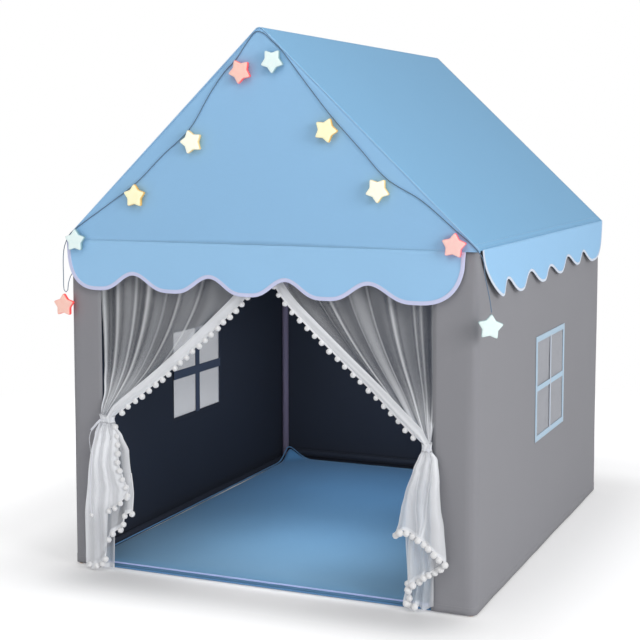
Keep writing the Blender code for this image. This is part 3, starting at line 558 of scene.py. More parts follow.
def tape_frame(name, x_face, side, pane, finish):
    """Four mitred lengths of tape round a pane, as a closed ring with soft edges."""
    low_y, high_y, low_z, high_z = pane
    edge = 0.0005
    profile = [(-NET_LAP, 0.0), (-NET_LAP, TAPE_THICKNESS - edge), (-NET_LAP + edge, TAPE_THICKNESS),
               (WINDOW_TAPE * 0.5, TAPE_THICKNESS - 0.0003), (WINDOW_TAPE - edge, TAPE_THICKNESS),
               (WINDOW_TAPE, TAPE_THICKNESS - edge), (WINDOW_TAPE, 0.0)]
    shape = bmesh.new()
    weave = shape.loops.layers.uv.new("weave")
    corners = [(low_y, low_z, -1, -1), (high_y, low_z, 1, -1), (high_y, high_z, 1, 1), (low_y, high_z, -1, 1)]
    steps = 12
    rings = []
    for first, second in zip(corners, corners[1:] + corners[:1]):
        for k in range(steps):
            y, z, a, b = [start + (end - start) * (k / steps) for start, end in zip(first, second)]
            wobble = 0.0004 * noise.noise(Vector((len(rings) * 0.37, 5.0, 0.0)))
            rings.append([shape.verts.new((x_face + side * lift, y + a * (out + wobble),
                                           z + b * (out + wobble))) for out, lift in profile])
    count = len(profile)
    for number, ring in enumerate(rings):
        following = rings[(number + 1) % len(rings)]
        for k in range(count):
            m = (k + 1) % count
            face = shape.faces.new([ring[k], ring[m], following[m], following[k]])
            face.smooth = k < count - 1
            for loop in face.loops:
                loop[weave].uv = (loop.vert.co.y, loop.vert.co.z)
    bmesh.ops.recalc_face_normals(shape, faces=shape.faces)
    dress(name, shape, [finish])


NET_COLUMNS = 28
NET_ROWS = 24
NET_SLACK = 0.0016
for x_name, side in SIDES.items():
    low_y, high_y, low_z, high_z = panes[x_name]
    face_x = side * (wall_x - 0.0002)
    net_x = side * (wall_x - 0.0012)

    def net_place(i, j, depth):
        y = low_y - NET_LAP + (high_y - low_y + 2 * NET_LAP) * i / NET_COLUMNS
        z = low_z - NET_LAP + (high_z - low_z + 2 * NET_LAP) * j / NET_ROWS
        slack = math.sin(math.pi * i / NET_COLUMNS) * math.sin(math.pi * j / NET_ROWS)
        return net_x - side * NET_SLACK * slack * (1.0 + 0.4 * noise.noise(Vector((y * 9, z * 9, 1.0)))), y, z

    net = sewn_sheet(f"window_net_{x_name}", NET_COLUMNS, NET_ROWS, net_place,
                     lambda i, j: ((high_y - low_y) * i / NET_COLUMNS, (high_z - low_z) * j / NET_ROWS),
                     [window_net])
    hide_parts(f"window_{x_name}")
    tape_frame(f"window_tape_{x_name}", face_x, side, panes[x_name], tape_blue)
    middle_y, middle_z = (low_y + high_y) / 2, (low_z + high_z) / 2
    heights = marks([low_z - BAR_LAP, high_z + BAR_LAP], 0.02)
    widths = marks([low_y - BAR_LAP, high_y + BAR_LAP], 0.02)
    shade_strip_width = BAR_SHADE_WIDTH[x_name]
    # The bars outside, then dark slate strips inside the net as painted shade of the bars
    for label, x, wide_up, wide_across, finish_up, finish_across in (
            ("bar", wall_x + 0.0002, BAR_UP, BAR_ACROSS, tape_pale, tape_blue),
            ("facing", wall_x - 0.0046, shade_strip_width, shade_strip_width, bar_shade_slate, bar_shade_slate)):
        upright = [(side * (x + 0.0005), middle_y, z) for z in heights]
        across = [(side * x, y, middle_z) for y in widths]
        for way, path, width, finish in (("upright", upright, wide_up, finish_up),
                                         ("cross", across, wide_across, finish_across)):
            grow(trim_tree, f"window_{label}_{way}_{x_name}", "window_tape", [path], Width=width,
                 Thickness=BAR_THICKNESS, Facing=(float(side), 0.0, 0.0), Finish=finish)
    rows = []
    for inset in (0.002, WINDOW_TAPE - 0.002):
        y0, y1, z0, z1 = low_y - inset, high_y + inset, low_z - inset, high_z + inset
        ring = [(y0, z0), (y1, z0), (y1, z1), (y0, z1), (y0, z0)]
        rows.append([(face_x + side * TAPE_THICKNESS, y, z) for y, z in ring])
    grow(stitch_tree, f"window_stitches_{x_name}", "window_tape", rows, Finish=pale_thread, **STITCH)


# Roof: one continuous sheet of sky blue polyester from eave to eave over the ridge pole, lined in
# navy. It is drawn tight on the frame, so it only sinks a little between the rafters.

ROOF_CLOTH = 0.0015
ROOF_SAG = 0.006
roof_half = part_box("roof_right")[1].x
roof_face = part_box("roof_right")[1].y
ridge_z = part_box("roof_right")[1].z
eave_z = max(v.co.z for v in nodes["roof_right"].data.vertices if v.co.x > roof_half - 1e-4)
pitch = math.atan2(ridge_z - eave_z, roof_half)
axis_low, axis_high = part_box("ridge_pole")
ridge_axis = (axis_low + axis_high) / 2
wrap = (ridge_z - ridge_axis.z) * math.cos(pitch)
# The roof's blue is written darker than the gables': painted shade of the slopes
roof_blue = woven("roof_blue", dye(136, 188, 227), tone=0.05)
gable_blue = woven("gable_blue", dye(154, 201, 240), tone=0.05)

RIDGE_STEPS = 10
wrap_x = wrap * math.sin(pitch)
# The cloth from eave to eave, as (x, z, way out of the cloth)
roof_line = []


def add_slope(stops):
    for x in marks(stops, CLOTH_GAP):
        out = Vector((math.copysign(math.sin(pitch), x), 0.0, math.cos(pitch)))
        roof_line.append((x, ridge_z - abs(x) * math.tan(pitch), out))


add_slope([-roof_half, -wrap_x])
for step in range(1, RIDGE_STEPS):
    angle = pitch * (2 * step / RIDGE_STEPS - 1)
    out = Vector((math.sin(angle), 0.0, math.cos(angle)))
    roof_line.append((wrap * out.x, ridge_axis.z + wrap * out.z, out))
add_slope([wrap_x, roof_half])
roof_depths = marks([-roof_face, roof_face], CLOTH_GAP)
roof_runs = [0.0]
for here, following in zip(roof_line, roof_line[1:]):
    roof_runs.append(roof_runs[-1] + math.hypot(following[0] - here[0], following[1] - here[1]))


def roof_dip(x, y):
    """How far the cloth sinks under the line of the frame."""
    down = min(max((abs(x) - wrap_x) / (roof_half - wrap_x), 0.0), 1.0)
    span = max(0.0, 1.0 - (y / (roof_face - 0.02)) ** 2)
    slack = 0.75 + 0.5 * noise.noise(Vector((x * 3.0, y * 3.0, 2.0)))
    return ROOF_SAG * span * math.sin(math.pi * down) * slack


def roof_place(i, j, depth):
    x, z, out = roof_line[i]
    y = roof_depths[j]
    return Vector((x, y, z)) - out * (depth + roof_dip(x, y))


roof_cloth = sewn_sheet("roof_cloth", len(roof_line) - 1, len(roof_depths) - 1, roof_place,
                        lambda i, j: (roof_runs[i], roof_depths[j]), [roof_blue, lining_navy], ROOF_CLOTH)
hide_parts("roof_left", "roof_right")

PIPING = 0.0021
ENDS = {"front": -1, "rear": 1}
piping_blue = woven("piping_blue", dye(166, 206, 238), thread=0.0009, tone=0.04)
blue_thread = sewing_thread("blue_thread", dye(170, 206, 236))
for y_name, way in ENDS.items():
    line = [Vector((x, way * (roof_face + 0.0002), z)) - out * (ROOF_CLOTH * 0.9) for x, z, out in roof_line]
    grow(trim_tree, f"roof_piping_{y_name}", "roof_cloth", [line], Width=PIPING, Thickness=PIPING,
         Facing=(0.0, float(way), 0.0), Finish=piping_blue)
eave_rows = []
for side in (-1, 1):
    for inset in (0.006, 0.018):
        x = roof_half - inset * math.cos(pitch)
        z = ridge_z - x * math.tan(pitch)
        eave_rows.append([(side * x, y, z + 0.0001) for y in roof_depths])
grow(stitch_tree, "roof_stitches", "roof_cloth", eave_rows, Finish=blue_thread, **STITCH)


# Gables: the same cloth cut as a triangle, sewn to the slopes along the rafters and to the valance along the
# eave line. Their blue is lighter than the roof's, whose darker blue is painted shade of the slopes. They
# sink a little behind their face, where nothing backs them.

GABLE_CLOTH = 0.0015
GABLE_SINK = 0.0030
GABLE_ROWS = 34
LINING_GAP = 0.0004
seam_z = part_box("gable_front")[0].z
gable_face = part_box("gable_front")[0].y


def roof_underside(x):
    """Height of the lining over a place across the tent."""
    x = abs(x)
    if x < wrap_x:
        return ridge_axis.z + math.sqrt((wrap - ROOF_CLOTH) ** 2 - x * x) - LINING_GAP
    return ridge_z - x * math.tan(pitch) - ROOF_CLOTH / math.cos(pitch) - LINING_GAP


gable_columns = marks([-roof_half, -wrap_x, wrap_x, roof_half], CLOTH_GAP)
for y_name, way in ENDS.items():
    def gable_place(i, j, depth):
        x = gable_columns[i]
        top = max(roof_underside(x), seam_z + LINING_GAP)
        z = seam_z + (top - seam_z) * j / GABLE_ROWS
        edge = min((top - z), (z - seam_z)) / 0.10
        slack = 0.5 + 0.6 * noise.noise(Vector((x * 4.0, z * 4.0, way * 3.0)))
        sink = GABLE_SINK * ease(edge) * slack
        return Vector((x, way * (abs(gable_face) - depth - sink), z))

    gable = sewn_sheet(f"gable_cloth_{y_name}", len(gable_columns) - 1, GABLE_ROWS, gable_place,
                       lambda i, j: (gable_columns[i], gable_place(i, j, 0.0).z), [gable_blue, lining_navy],
                       GABLE_CLOTH)
    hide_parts(f"gable_{y_name}")
    level = seam_z + 0.0035
    reach = (ridge_z - level) / math.tan(pitch) - 0.006
    row = [(x, way * (abs(gable_face) + 0.0002), level) for x in marks([-reach, reach], CLOTH_GAP)]
    grow(stitch_tree, f"gable_stitches_{y_name}", "roof_cloth", [row], Finish=blue_thread, **STITCH)


# Valances: a scalloped strip under each eave, in a lighter piece of the same cloth. Its edge is bound
# with tape folded over it, lilac at the front and rear and paler at the sides. The lobes hang free.

VALANCE_CLOTH = 0.0013
BINDING = {"front": 0.0095, "rear": 0.0095, "left": 0.0066, "right": 0.0066}
BINDING_THICKNESS = 0.0024
SCALLOP_DEPTH = 0.039
SEAM_LAP = 0.0010
SIDE_START = -0.6235
# Where two lobes meet, and where each lobe hangs lowest, as (place, how much higher than the strip's
# foot or its usual crest), along the front and the right side
FRONT_LOBES = ([(-0.343, 0.0), (-0.135, 0.0), (0.063, 0.0), (0.269, 0.0)],
               [(-0.440, 0.0), (-0.236, 0.0), (-0.034, 0.0), (0.164, 0.0), (0.388, 0.0)])
SIDE_LOBES = ([(-0.416, 0.005), (-0.205, 0.005), (-0.004, 0.001), (0.191, 0.012), (0.384, 0.011)],
              [(-0.480, 0.010), (-0.318, 0.007), (-0.096, 0.009), (0.106, 0.013), (0.308, 0.020),
               (0.477, 0.017)])
valance_blue = woven("valance_blue", dye(162, 209, 247), tone=0.05)
binding_lilac = woven("binding_lilac", dye(214, 218, 248), thread=0.0009, tone=0.04)
binding_pale = woven("binding_pale", dye(224, 234, 248), thread=0.0009, tone=0.04)


class Valance:
    """One scalloped strip: places on it are given by the distance along it and the height."""

    def __init__(self, side_name):
        low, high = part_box(f"valance_{side_name}")
        self.lengthwise = 0 if side_name in ("front", "rear") else 1
        self.way = 1 if side_name in ("right", "rear") else -1
        crosswise = 1 - self.lengthwise
        self.start, self.end = low[self.lengthwise], high[self.lengthwise]
        self.bottom, self.top = low.z, high.z + SEAM_LAP
        self.joins, self.lows = FRONT_LOBES if self.lengthwise == 0 else SIDE_LOBES
        # How far the lobes hang off, how narrow the peaks between them are, and how full the end lobes are
        self.stand, self.sharpness, self.start_bulge, self.end_bulge = 0.0048, 1.7, 2.5, 2.5
        self.face = abs(high[crosswise] if self.way > 0 else low[crosswise])
        if side_name == "rear":
            self.joins, self.lows = [[(-s, raised) for s, raised in reversed(places)]
                                     for places in FRONT_LOBES]
        if self.lengthwise == 1:
            self.start, self.top = SIDE_START, eave_z + 0.0006
            self.stand, self.sharpness, self.start_bulge = 0.0090, 1.25, 1.45
            self.face += 0.0008
        self.seed = 7.0 * len(side_name) + len(self.lows)

    def edge(self, s):
        """Height of the scalloped edge: round lobes whose outer ends curve up to the seam."""
        for (lowest, raised), end, bulge in ((self.lows[0], self.start, self.start_bulge),
                                             (self.lows[-1], self.end, self.end_bulge)):
            lean = (s - lowest) / (end - lowest)
            if lean > 0.0:
                round_end = (1.0 - min(lean, 1.0) ** bulge) ** (1 / bulge)
                return self.top - (self.top - self.bottom - raised) * round_end
        join, low = self.neighbours(s)
        climb = ((1.0 - math.cos(math.pi * self.nearness(s))) / 2) ** self.sharpness
        return self.bottom + low[1] + (SCALLOP_DEPTH + join[1] - low[1]) * climb

    def neighbours(self, s):
        """The nearest place where two lobes meet, and the lowest place of the lobe that s is on."""
        join = min(self.joins, key=lambda pair: abs(pair[0] - s))
        low = min(self.lows, key=lambda pair: abs(pair[0] - s) + 9.0 * ((pair[0] < join[0]) != (s < join[0])))
        return join, low

    def nearness(self, s):
        """0 where a lobe hangs lowest and 1 where two lobes meet."""
        join, low = self.neighbours(s)
        return min(max((s - low[0]) / (join[0] - low[0]), 0.0), 1.0)

    def lift(self, s, z):
        """How far the cloth hangs off its face: more towards the edge, lobe by lobe."""
        down = (self.top - z) / (self.top - self.bottom)
        lobe = 1.0 - ease(self.nearness(s))
        sway = 0.6 + 0.8 * noise.noise(Vector((s * 5.0, self.seed, 0.0)))
        return (0.0012 + self.stand * lobe * max(sway, 0.1)) * ease((down - 0.25) / 0.75)

    def place(self, s, z, depth=0.0):
        across = self.way * (self.face - depth + self.lift(s, z))
        return Vector((s, across, z)) if self.lengthwise == 0 else Vector((across, s, z))


VALANCE_ROWS = 14
for side_name in BINDING:
    strip = Valance(side_name)
    lengths = marks([strip.start, strip.end], 0.006)

    def strip_height(i, j):
        edge = min(strip.edge(lengths[i]), strip.top - 0.0006)
        return edge + (strip.top - edge) * j / VALANCE_ROWS

    cloth = sewn_sheet(f"valance_cloth_{side_name}", len(lengths) - 1, VALANCE_ROWS,
                       lambda i, j, depth: strip.place(lengths[i], strip_height(i, j), depth),
                       lambda i, j: (lengths[i], strip_height(i, j)), [valance_blue, lining_navy],
                       VALANCE_CLOTH)
    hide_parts(f"valance_{side_name}")
    long = strip.end - strip.start
    cut = sum(strip.top - strip.edge(s) for s in lengths) * long / len(lengths)
    facing = (0.0, float(strip.way), 0.0) if strip.lengthwise == 0 else (float(strip.way), 0.0, 0.0)
    bound, sewn = [], []
    for s in marks([strip.start, strip.end], 0.003):
        slope = (strip.edge(min(s + 0.001, strip.end)) - strip.edge(max(s - 0.001, strip.start))) / 0.002
        inward = Vector((-slope, 1.0)).normalized()
        for line, inset in ((bound, BINDING[side_name] / 2 - 0.0006), (sewn, BINDING[side_name] - 0.0012)):
            place_s = s + inward.x * inset
            place_z = min(strip.edge(s) + inward.y * inset, strip.top - 0.001)
            if strip.start - 0.004 < place_s < strip.end + 0.004:
                line.append(strip.place(place_s, place_z, VALANCE_CLOTH / 2 if line is bound else -0.0010))
    grow(trim_tree, f"valance_binding_{side_name}", "valance_cloth", [bound], Width=BINDING[side_name],
         Thickness=BINDING_THICKNESS, Facing=facing,
         Finish=binding_lilac if strip.lengthwise == 0 else binding_pale)
    grow(stitch_tree, f"valance_stitches_{side_name}", "valance_cloth", [sewn], Finish=pale_thread, **STITCH)


# Pole sleeves: tubes of cloth sewn inside the cover, which the poles are slid through. Those on the
# corner poles are mauve-grey, those along the floor are of the lining. They gather a little.

SLEEVE_RADIUS = 0.0107
SLEEVE_SIDES = 28
SLEEVE_FOOT = 0.003
SLEEVE_HEAD = 0.760
SLEEVE_CLOTH = 0.0005
RAIL_SLEEVE_GAP = 0.011
sleeve_mauve = woven("sleeve_mauve", dye(122, 116, 140), tone=0.10, sheen=0.0)


def sew_sleeve(pole_name, finish, start, end):
    """A gathered tube of cloth round a pole, between two places on its axis."""
    run = (end - start).length
    turn = Vector((0.0, 0.0, 1.0)).rotation_difference(end - start)
    lengths = marks([0.0, run], 0.012)

    def sleeve_place(i, j, depth):
        angle = math.tau * i / SLEEVE_SIDES
        around = Vector((math.cos(angle), math.sin(angle), 0.0))
        gather = noise.noise(around * 2.0 + Vector((start.x, start.y, lengths[j] * 9.0)))
        radius = SLEEVE_RADIUS + 0.0007 * gather - depth
        return start + turn @ (around * radius + Vector((0.0, 0.0, lengths[j])))

    sleeve = sewn_sheet(f"sleeve_{pole_name}", SLEEVE_SIDES, len(lengths) - 1, sleeve_place,
                        lambda i, j: (SLEEVE_RADIUS * math.tau * i / SLEEVE_SIDES, lengths[j]), [finish],
                        SLEEVE_CLOTH)


for x_name, side in SIDES.items():
    for y_name, way in ENDS.items():
        foot = Vector((side * post.x, way * post.y, SLEEVE_FOOT))
        sew_sleeve(f"upright_{y_name}_{x_name}", sleeve_mauve, foot, Vector((foot.x, foot.y, SLEEVE_HEAD)))
    rail_low, rail_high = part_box(f"base_rail_{x_name}")
    rail_z = (rail_low.z + rail_high.z) / 2
    sew_sleeve(f"base_rail_{x_name}", lining_navy, Vector((side * post.x, -post.y + RAIL_SLEEVE_GAP, rail_z)),
               Vector((side * post.x, post.y - RAIL_SLEEVE_GAP, rail_z)))
rail_low, rail_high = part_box("base_rail_rear")
rail_z = (rail_low.z + rail_high.z) / 2
sew_sleeve("base_rail_rear", lining_navy, Vector((-post.x + RAIL_SLEEVE_GAP, post.y, rail_z)),
           Vector((post.x - RAIL_SLEEVE_GAP, post.y, rail_z)))


# Curtains: sheer white voile on the front rail at each side of the door, drawn back to a tie. Pressed
# folds run from the rail into the tie, and the inner edge has a hem band, a braid and hanging balls.

def sheer(name, colour, thread=0.0009):
    """Voile whose cover is written on the sheet: thin between folds, dense on folds and hems."""
    def paint(shade):
        warp, weft = [shade.maths("SINE", way * (math.tau / thread)) for way in cloth_ways(shade)]
        cover = shade.node("ShaderNodeAttribute", {"attribute_name": "cover"}, {}, "Fac")
        threads = shade.maths("MAXIMUM", warp, weft)
        alpha = shade.node("ShaderNodeMath", {"operation": "ADD", "use_clamp": True},
                           {0: cover, 1: 0.16 * threads * (1.0 - cover)})
        haze = cloud(own_place(shade), 12.0)
        return {"Base Color": tinted(haze, colour, 0.95), "Roughness": 0.55 + 0.2 * haze, "Alpha": alpha,
                "Normal": bump(threads, 0.0001, 0.5)}

    return material(name, {"Sheen Weight": 0.3, "Sheen Roughness": 0.4}, paint)


def plush_ball(name, colour):
    return grained(name, colour, lambda place: cloud(place, 900.0, 3.0), (0.88, 1.0), (0.8, 0.15), 0.0012,
                   {"Sheen Weight": 0.5, "Sheen Roughness": 0.4})


ball_tree, given, start = new_tree("ball_trim", {"Pitch": "Float", "Radius": "Float", "Drop": "Float",
                                                 "Fluff": "Float", "Seed": "Int", "Finish": "Material"})
points = spaced_points(given)
jitter = start.node("FunctionNodeRandomValue", {"data_type": "FLOAT_VECTOR"},
                    {0: (-0.0012, -0.0012, -0.0012), 1: (0.0012, 0.0012, 0.0012), "Seed": given["Seed"]})
down = start.node("ShaderNodeCombineXYZ", {}, {2: 0.0 - given["Drop"]})
hung = start.node("ShaderNodeVectorMath", {"operation": "ADD"}, {0: jitter, 1: down})
centres = start.node("GeometryNodeSetPosition", {}, {"Geometry": points, "Offset": hung})
ball = start.node("GeometryNodeMeshIcoSphere", {}, {"Radius": given["Radius"], "Subdivisions": 3})
lumps = start.node("ShaderNodeTexNoise", {}, {"Scale": 420.0, "Detail": 1.0})
normal = start.node("GeometryNodeInputNormal", {}, {})
puff = start.node("ShaderNodeVectorMath", {"operation": "SCALE"},
                  {0: normal, "Scale": (lumps - 0.5) * given["Fluff"]})
fluffy = start.node("GeometryNodeSetPosition", {}, {"Geometry": ball, "Offset": puff})
spin = start.node("FunctionNodeRandomValue", {"data_type": "FLOAT_VECTOR"},
                  {0: (0.0, 0.0, 0.0), 1: (math.tau, math.tau, math.tau), "Seed": given["Seed"]})
growth = start.node("FunctionNodeRandomValue", {"data_type": "FLOAT"},
                    {2: 0.92, 3: 1.08, "Seed": given["Seed"]}, 1)
balls = start.node("GeometryNodeInstanceOnPoints", {},
                   {"Points": centres, "Instance": fluffy, "Rotation": spin, "Scale": growth})
cord_piece = start.node("GeometryNodeMeshCylinder", {},
                        {"Vertices": 5, "Radius": 0.0006, "Depth": given["Drop"]})
half_down = start.node("ShaderNodeCombineXYZ", {}, {2: -0.5 * given["Drop"]})
middles = start.node("GeometryNodeSetPosition", {}, {"Geometry": points, "Offset": half_down})
loops = start.node("GeometryNodeInstanceOnPoints", {}, {"Points": middles, "Instance": cord_piece})
joined = start.node("GeometryNodeJoinGeometry", {}, {"Geometry": balls})
start.tree.links.new(loops.socket, joined.socket.node.inputs["Geometry"])
close_tree(ball_tree, joined, given["Finish"])



def hang_balls(name, body, rows, sizes, seed):
    """White balls on short loops along some rows, as (gap from ball to ball, radius)."""
    grow(ball_tree, name, "sheer_curtain", rows, body, Pitch=sizes[0], Radius=sizes[1], Drop=0.0065,
         Fluff=0.0030, Seed=seed, Finish=ball_white)


BALLS = {"left": (0.0220, 0.0072), "right": (0.0245, 0.0066)}
voile = sheer("voile", dye(246, 248, 252))
braid_white = woven("braid_white", dye(240, 241, 244), thread=0.0014, tone=0.10)
ball_white = plush_ball("ball_white", dye(253, 253, 254))

JAMB_LAP = 0.004
MEETING_GAP = 0.004
FOLDS = 5
FOLD_DEPTH = 0.0080
BUNCH_FOLD_DEPTH = 0.0035
# Distance of each tied neck from the door's middle, and half its width
NECKS = {"left": (0.4180, 0.0215), "right": (0.4125, 0.0112)}
CURTAIN_SAG = 0.006
# Shares of the way down: where the inner edge has left its bend, and where the cloth comes forward
SWEEP_START = 0.17
COMES_FORWARD = 0.70
# How late the folds turn to the tie, at the jamb, and how much sooner they do at the inner edge
FOLD_BEND = {"left": (2.3, 0.7), "right": (2.1, 1.0)}
# How dense the flat voile looks between its folds
THIN = {"left": 0.195, "right": 0.165}
curtain_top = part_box("curtain_right")[1].z
curtain_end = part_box("curtain_tie_right")[1].z + 0.0005
tie_low, tie_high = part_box("curtain_tie_right")
tie = (tie_low + tie_high) / 2

# Pressed folds: share of the width from the jamb, half width, and how much denser the cloth looks
PLEATS = {"left": [(0.012, 0.010, 0.55), (0.114, 0.016, 0.54), (0.225, 0.007, 0.34), (0.319, 0.016, 0.56),
                   (0.430, 0.006, 0.14), (0.536, 0.009, 0.34), (0.653, 0.008, 0.30)],
          "right": [(0.056, 0.011, 0.52), (0.124, 0.006, 0.26), (0.164, 0.006, 0.28), (0.307, 0.009, 0.46),
                    (0.450, 0.006, 0.26), (0.505, 0.040, 0.16), (0.560, 0.006, 0.18), (0.718, 0.008, 0.42),
                    (0.810, 0.006, 0.24), (0.943, 0.008, 0.22)]}
# Width and density of the doubled hem along each inner edge, and how much wider it looks at the tie
HEM_BAND = {"left": (0.025, 0.93, -0.20), "right": (0.0225, 0.97, 0.30)}
HEM_COLUMNS = 12
BRAID_STEPS = 60
CURTAIN_COLUMNS = 380
CURTAIN_ROWS = 56
# The last rows run straight down inside the tie
TUCK_START = 54 / CURTAIN_ROWS
TUCK_DEPTH = 0.014


def hem_way(v):
    """How far the inner edge has gone to the tie: it leaves the rail in a bend, then runs in a line."""
    if v < 2.0 * SWEEP_START:
        return v * v / (4.0 * SWEEP_START * (1.0 - SWEEP_START))
    return (v - SWEEP_START) / (1.0 - SWEEP_START)


def pleat_at(x_name, u):
    """The pressed folds' strength at a share of the curtain's width, with a thinner strip beside each that is
    painted shade beside the fold.
    """
    total = 0.0
    for centre, width, weight in PLEATS[x_name]:
        off = abs(u - centre) / width
        # The second term thins the voile beside the fold: painted shade
        total += weight * (math.exp(-off ** 2) - 0.20 * math.exp(-(off - 2.6) ** 2))
    return total


def curtain_place(x_name, u, v):
    """A place on a curtain: u goes from the jamb to the inner edge, and v from the rail to the tie."""
    tucked = TUCK_DEPTH * max(0.0, (v - TUCK_START) / (1.0 - TUCK_START))
    v = min(v / TUCK_START, 1.0)
    rail_x = jamb_x + JAMB_LAP
    tie_x, neck = NECKS[x_name]
    top_x = rail_x + (MEETING_GAP - rail_x) * u
    end_x = tie_x + neck * (0.84 - 1.68 * u)
    sag = CURTAIN_SAG * u * math.sin(math.pi * v)
    # The folds hang from the rail and bend to the neck, and the inner edge goes its own way there
    hanging_way = v ** (FOLD_BEND[x_name][0] - FOLD_BEND[x_name][1] * u)
    x = top_x + (end_x - top_x) * (hanging_way + (hem_way(v) - hanging_way) * ease((u - 0.75) / 0.25))
    if x_name == "left":
        x += (1.0 - u) ** 6 * (0.010 * (1.0 - ease(v / 0.6)) - 0.006 * math.exp(-((v - 0.87) / 0.06) ** 2))
    # No fold comes nearer to the middle than the hem, and those pushed back by it lie behind it
    hem_x = MEETING_GAP + (tie_x - 0.9 * neck - MEETING_GAP) * hem_way(v)
    beside_hem = hem_x + min(0.16 * (1.0 - u), 0.018 + 0.03 * (1.0 - u)) * (1.0 - ease((v - 0.70) / 0.30))
    behind_hem = ease((beside_hem - x) / 0.02)
    x = max(x, beside_hem) - sag
    z = curtain_top + (curtain_end - curtain_top) * v - sag - tucked
    y = -post.y + (tie.y + post.y) * ease((v - COMES_FORWARD) / (1.0 - COMES_FORWARD))
    # Round folds, which die out beside the hem, then pressed folds and small creases
    depth = FOLD_DEPTH + (BUNCH_FOLD_DEPTH - FOLD_DEPTH) * ease(v)
    depth *= 1.0 - ease((u - 0.84) / 0.10)
    y += depth * math.sin(math.tau * FOLDS * u)
    y -= 0.004 * pleat_at(x_name, u) * (1.0 - 0.5 * v)
    y += 0.005 * behind_hem * (1.0 - 0.8 * ease((v - 0.70) / 0.30))
    y += 0.0012 * noise.noise(Vector((u * 14.0, v * 3.0, SIDES[x_name]))) * (1.0 - u * 0.3)
    return Vector((SIDES[x_name] * x, y, z))


def curtain_cover(x_name, u, v):
    """Density of the voile: thin panels, brighter folds with painted shade beside them, a doubled hem band,
    gathered at the tie.
    """
    gathered = ease((v - 0.45) / 0.55)
    shade = 0.08 * noise.noise(Vector((u * 11.0, v * 1.5, 4.0 + SIDES[x_name])))
    thin = THIN[x_name] + shade + 0.48 * gathered * gathered + pleat_at(x_name, u) * (0.75 + 0.4 * v)
    return min(thin, 0.96)


def hem_band_place(x_name, across, v):
    """The hem lies in front of the gathered folds, and narrows only in the last part before the tie."""
    edge = curtain_place(x_name, 1.0, v)
    run = curtain_place(x_name, 1.0, v + 0.01) - edge
    outward = Vector((-run.z, 0.0, run.x)).normalized() * SIDES[x_name]
    width = HEM_BAND[x_name][0] * (1.0 + HEM_BAND[x_name][2] * v * v) * (1.0 - 0.5 * ease((v - 0.92) / 0.08))
    back = 1.0 - across
    ahead = (0.0030 + 0.0055 * ease((v - 0.40) / 0.40)) * ease(back / 0.4)
    ripple = 0.0010 * math.sin(across * 9.0 + v * 5.0) * ease(back / 0.4)
    return edge + outward * (width * back) + Vector((0.0, ripple - ahead - 0.0004, 0.0))


for x_name, side in SIDES.items():
    curtain = sewn_sheet(f"curtain_cloth_{x_name}", CURTAIN_COLUMNS, CURTAIN_ROWS,
                         lambda i, j, depth: curtain_place(x_name, i / CURTAIN_COLUMNS, j / CURTAIN_ROWS),
                         lambda i, j: (0.75 * i / CURTAIN_COLUMNS, 0.55 * j / CURTAIN_ROWS), [voile],
                         cover=lambda i, j: curtain_cover(x_name, i / CURTAIN_COLUMNS, j / CURTAIN_ROWS))
    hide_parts(f"curtain_{x_name}")
    band_width, band_cover = HEM_BAND[x_name][:2]
    band_run = (curtain_place(x_name, 1.0, 1.0) - curtain_place(x_name, 1.0, 0.0)).length
    hem_band = sewn_sheet(f"curtain_hem_{x_name}", HEM_COLUMNS, CURTAIN_ROWS,
                          lambda i, j, depth: hem_band_place(x_name, i / HEM_COLUMNS, j / CURTAIN_ROWS),
                          lambda i, j: (band_width * i / HEM_COLUMNS, band_run * j / CURTAIN_ROWS), [voile],
                          cover=lambda i, j: band_cover - 0.10 * (0 < i < HEM_COLUMNS - 1))
    edge = [curtain_place(x_name, 1.0, 0.02 + 0.90 * k / BRAID_STEPS) + Vector((0.0, -0.0008, 0.0))
            for k in range(BRAID_STEPS + 1)]
    grow(trim_tree, f"curtain_braid_{x_name}", "sheer_curtain", [edge], Width=0.0042, Thickness=0.0016,
         Facing=(0.0, -1.0, 0.0), Finish=braid_white)
    hang_balls(f"curtain_balls_{x_name}", "root", [edge], BALLS[x_name], 11 + side)


# Curtain ties: a soft sleeve of the same voile gathered round the bundle, dense at its waist, where a
# thin string draws it in. The string's two loose ends hang from there.

ribbon_voile = woven("ribbon_voile", dye(230, 232, 240), thread=0.0010, tone=0.06)
TIE_RISE = 0.013
TIE_DROP = 0.0092
TIE_CREASE = 0.0012
TIE_CLOTH = 0.0016
TIE_WAIST = 0.86
BAND_COLUMNS = 144
BAND_ROWS = 20
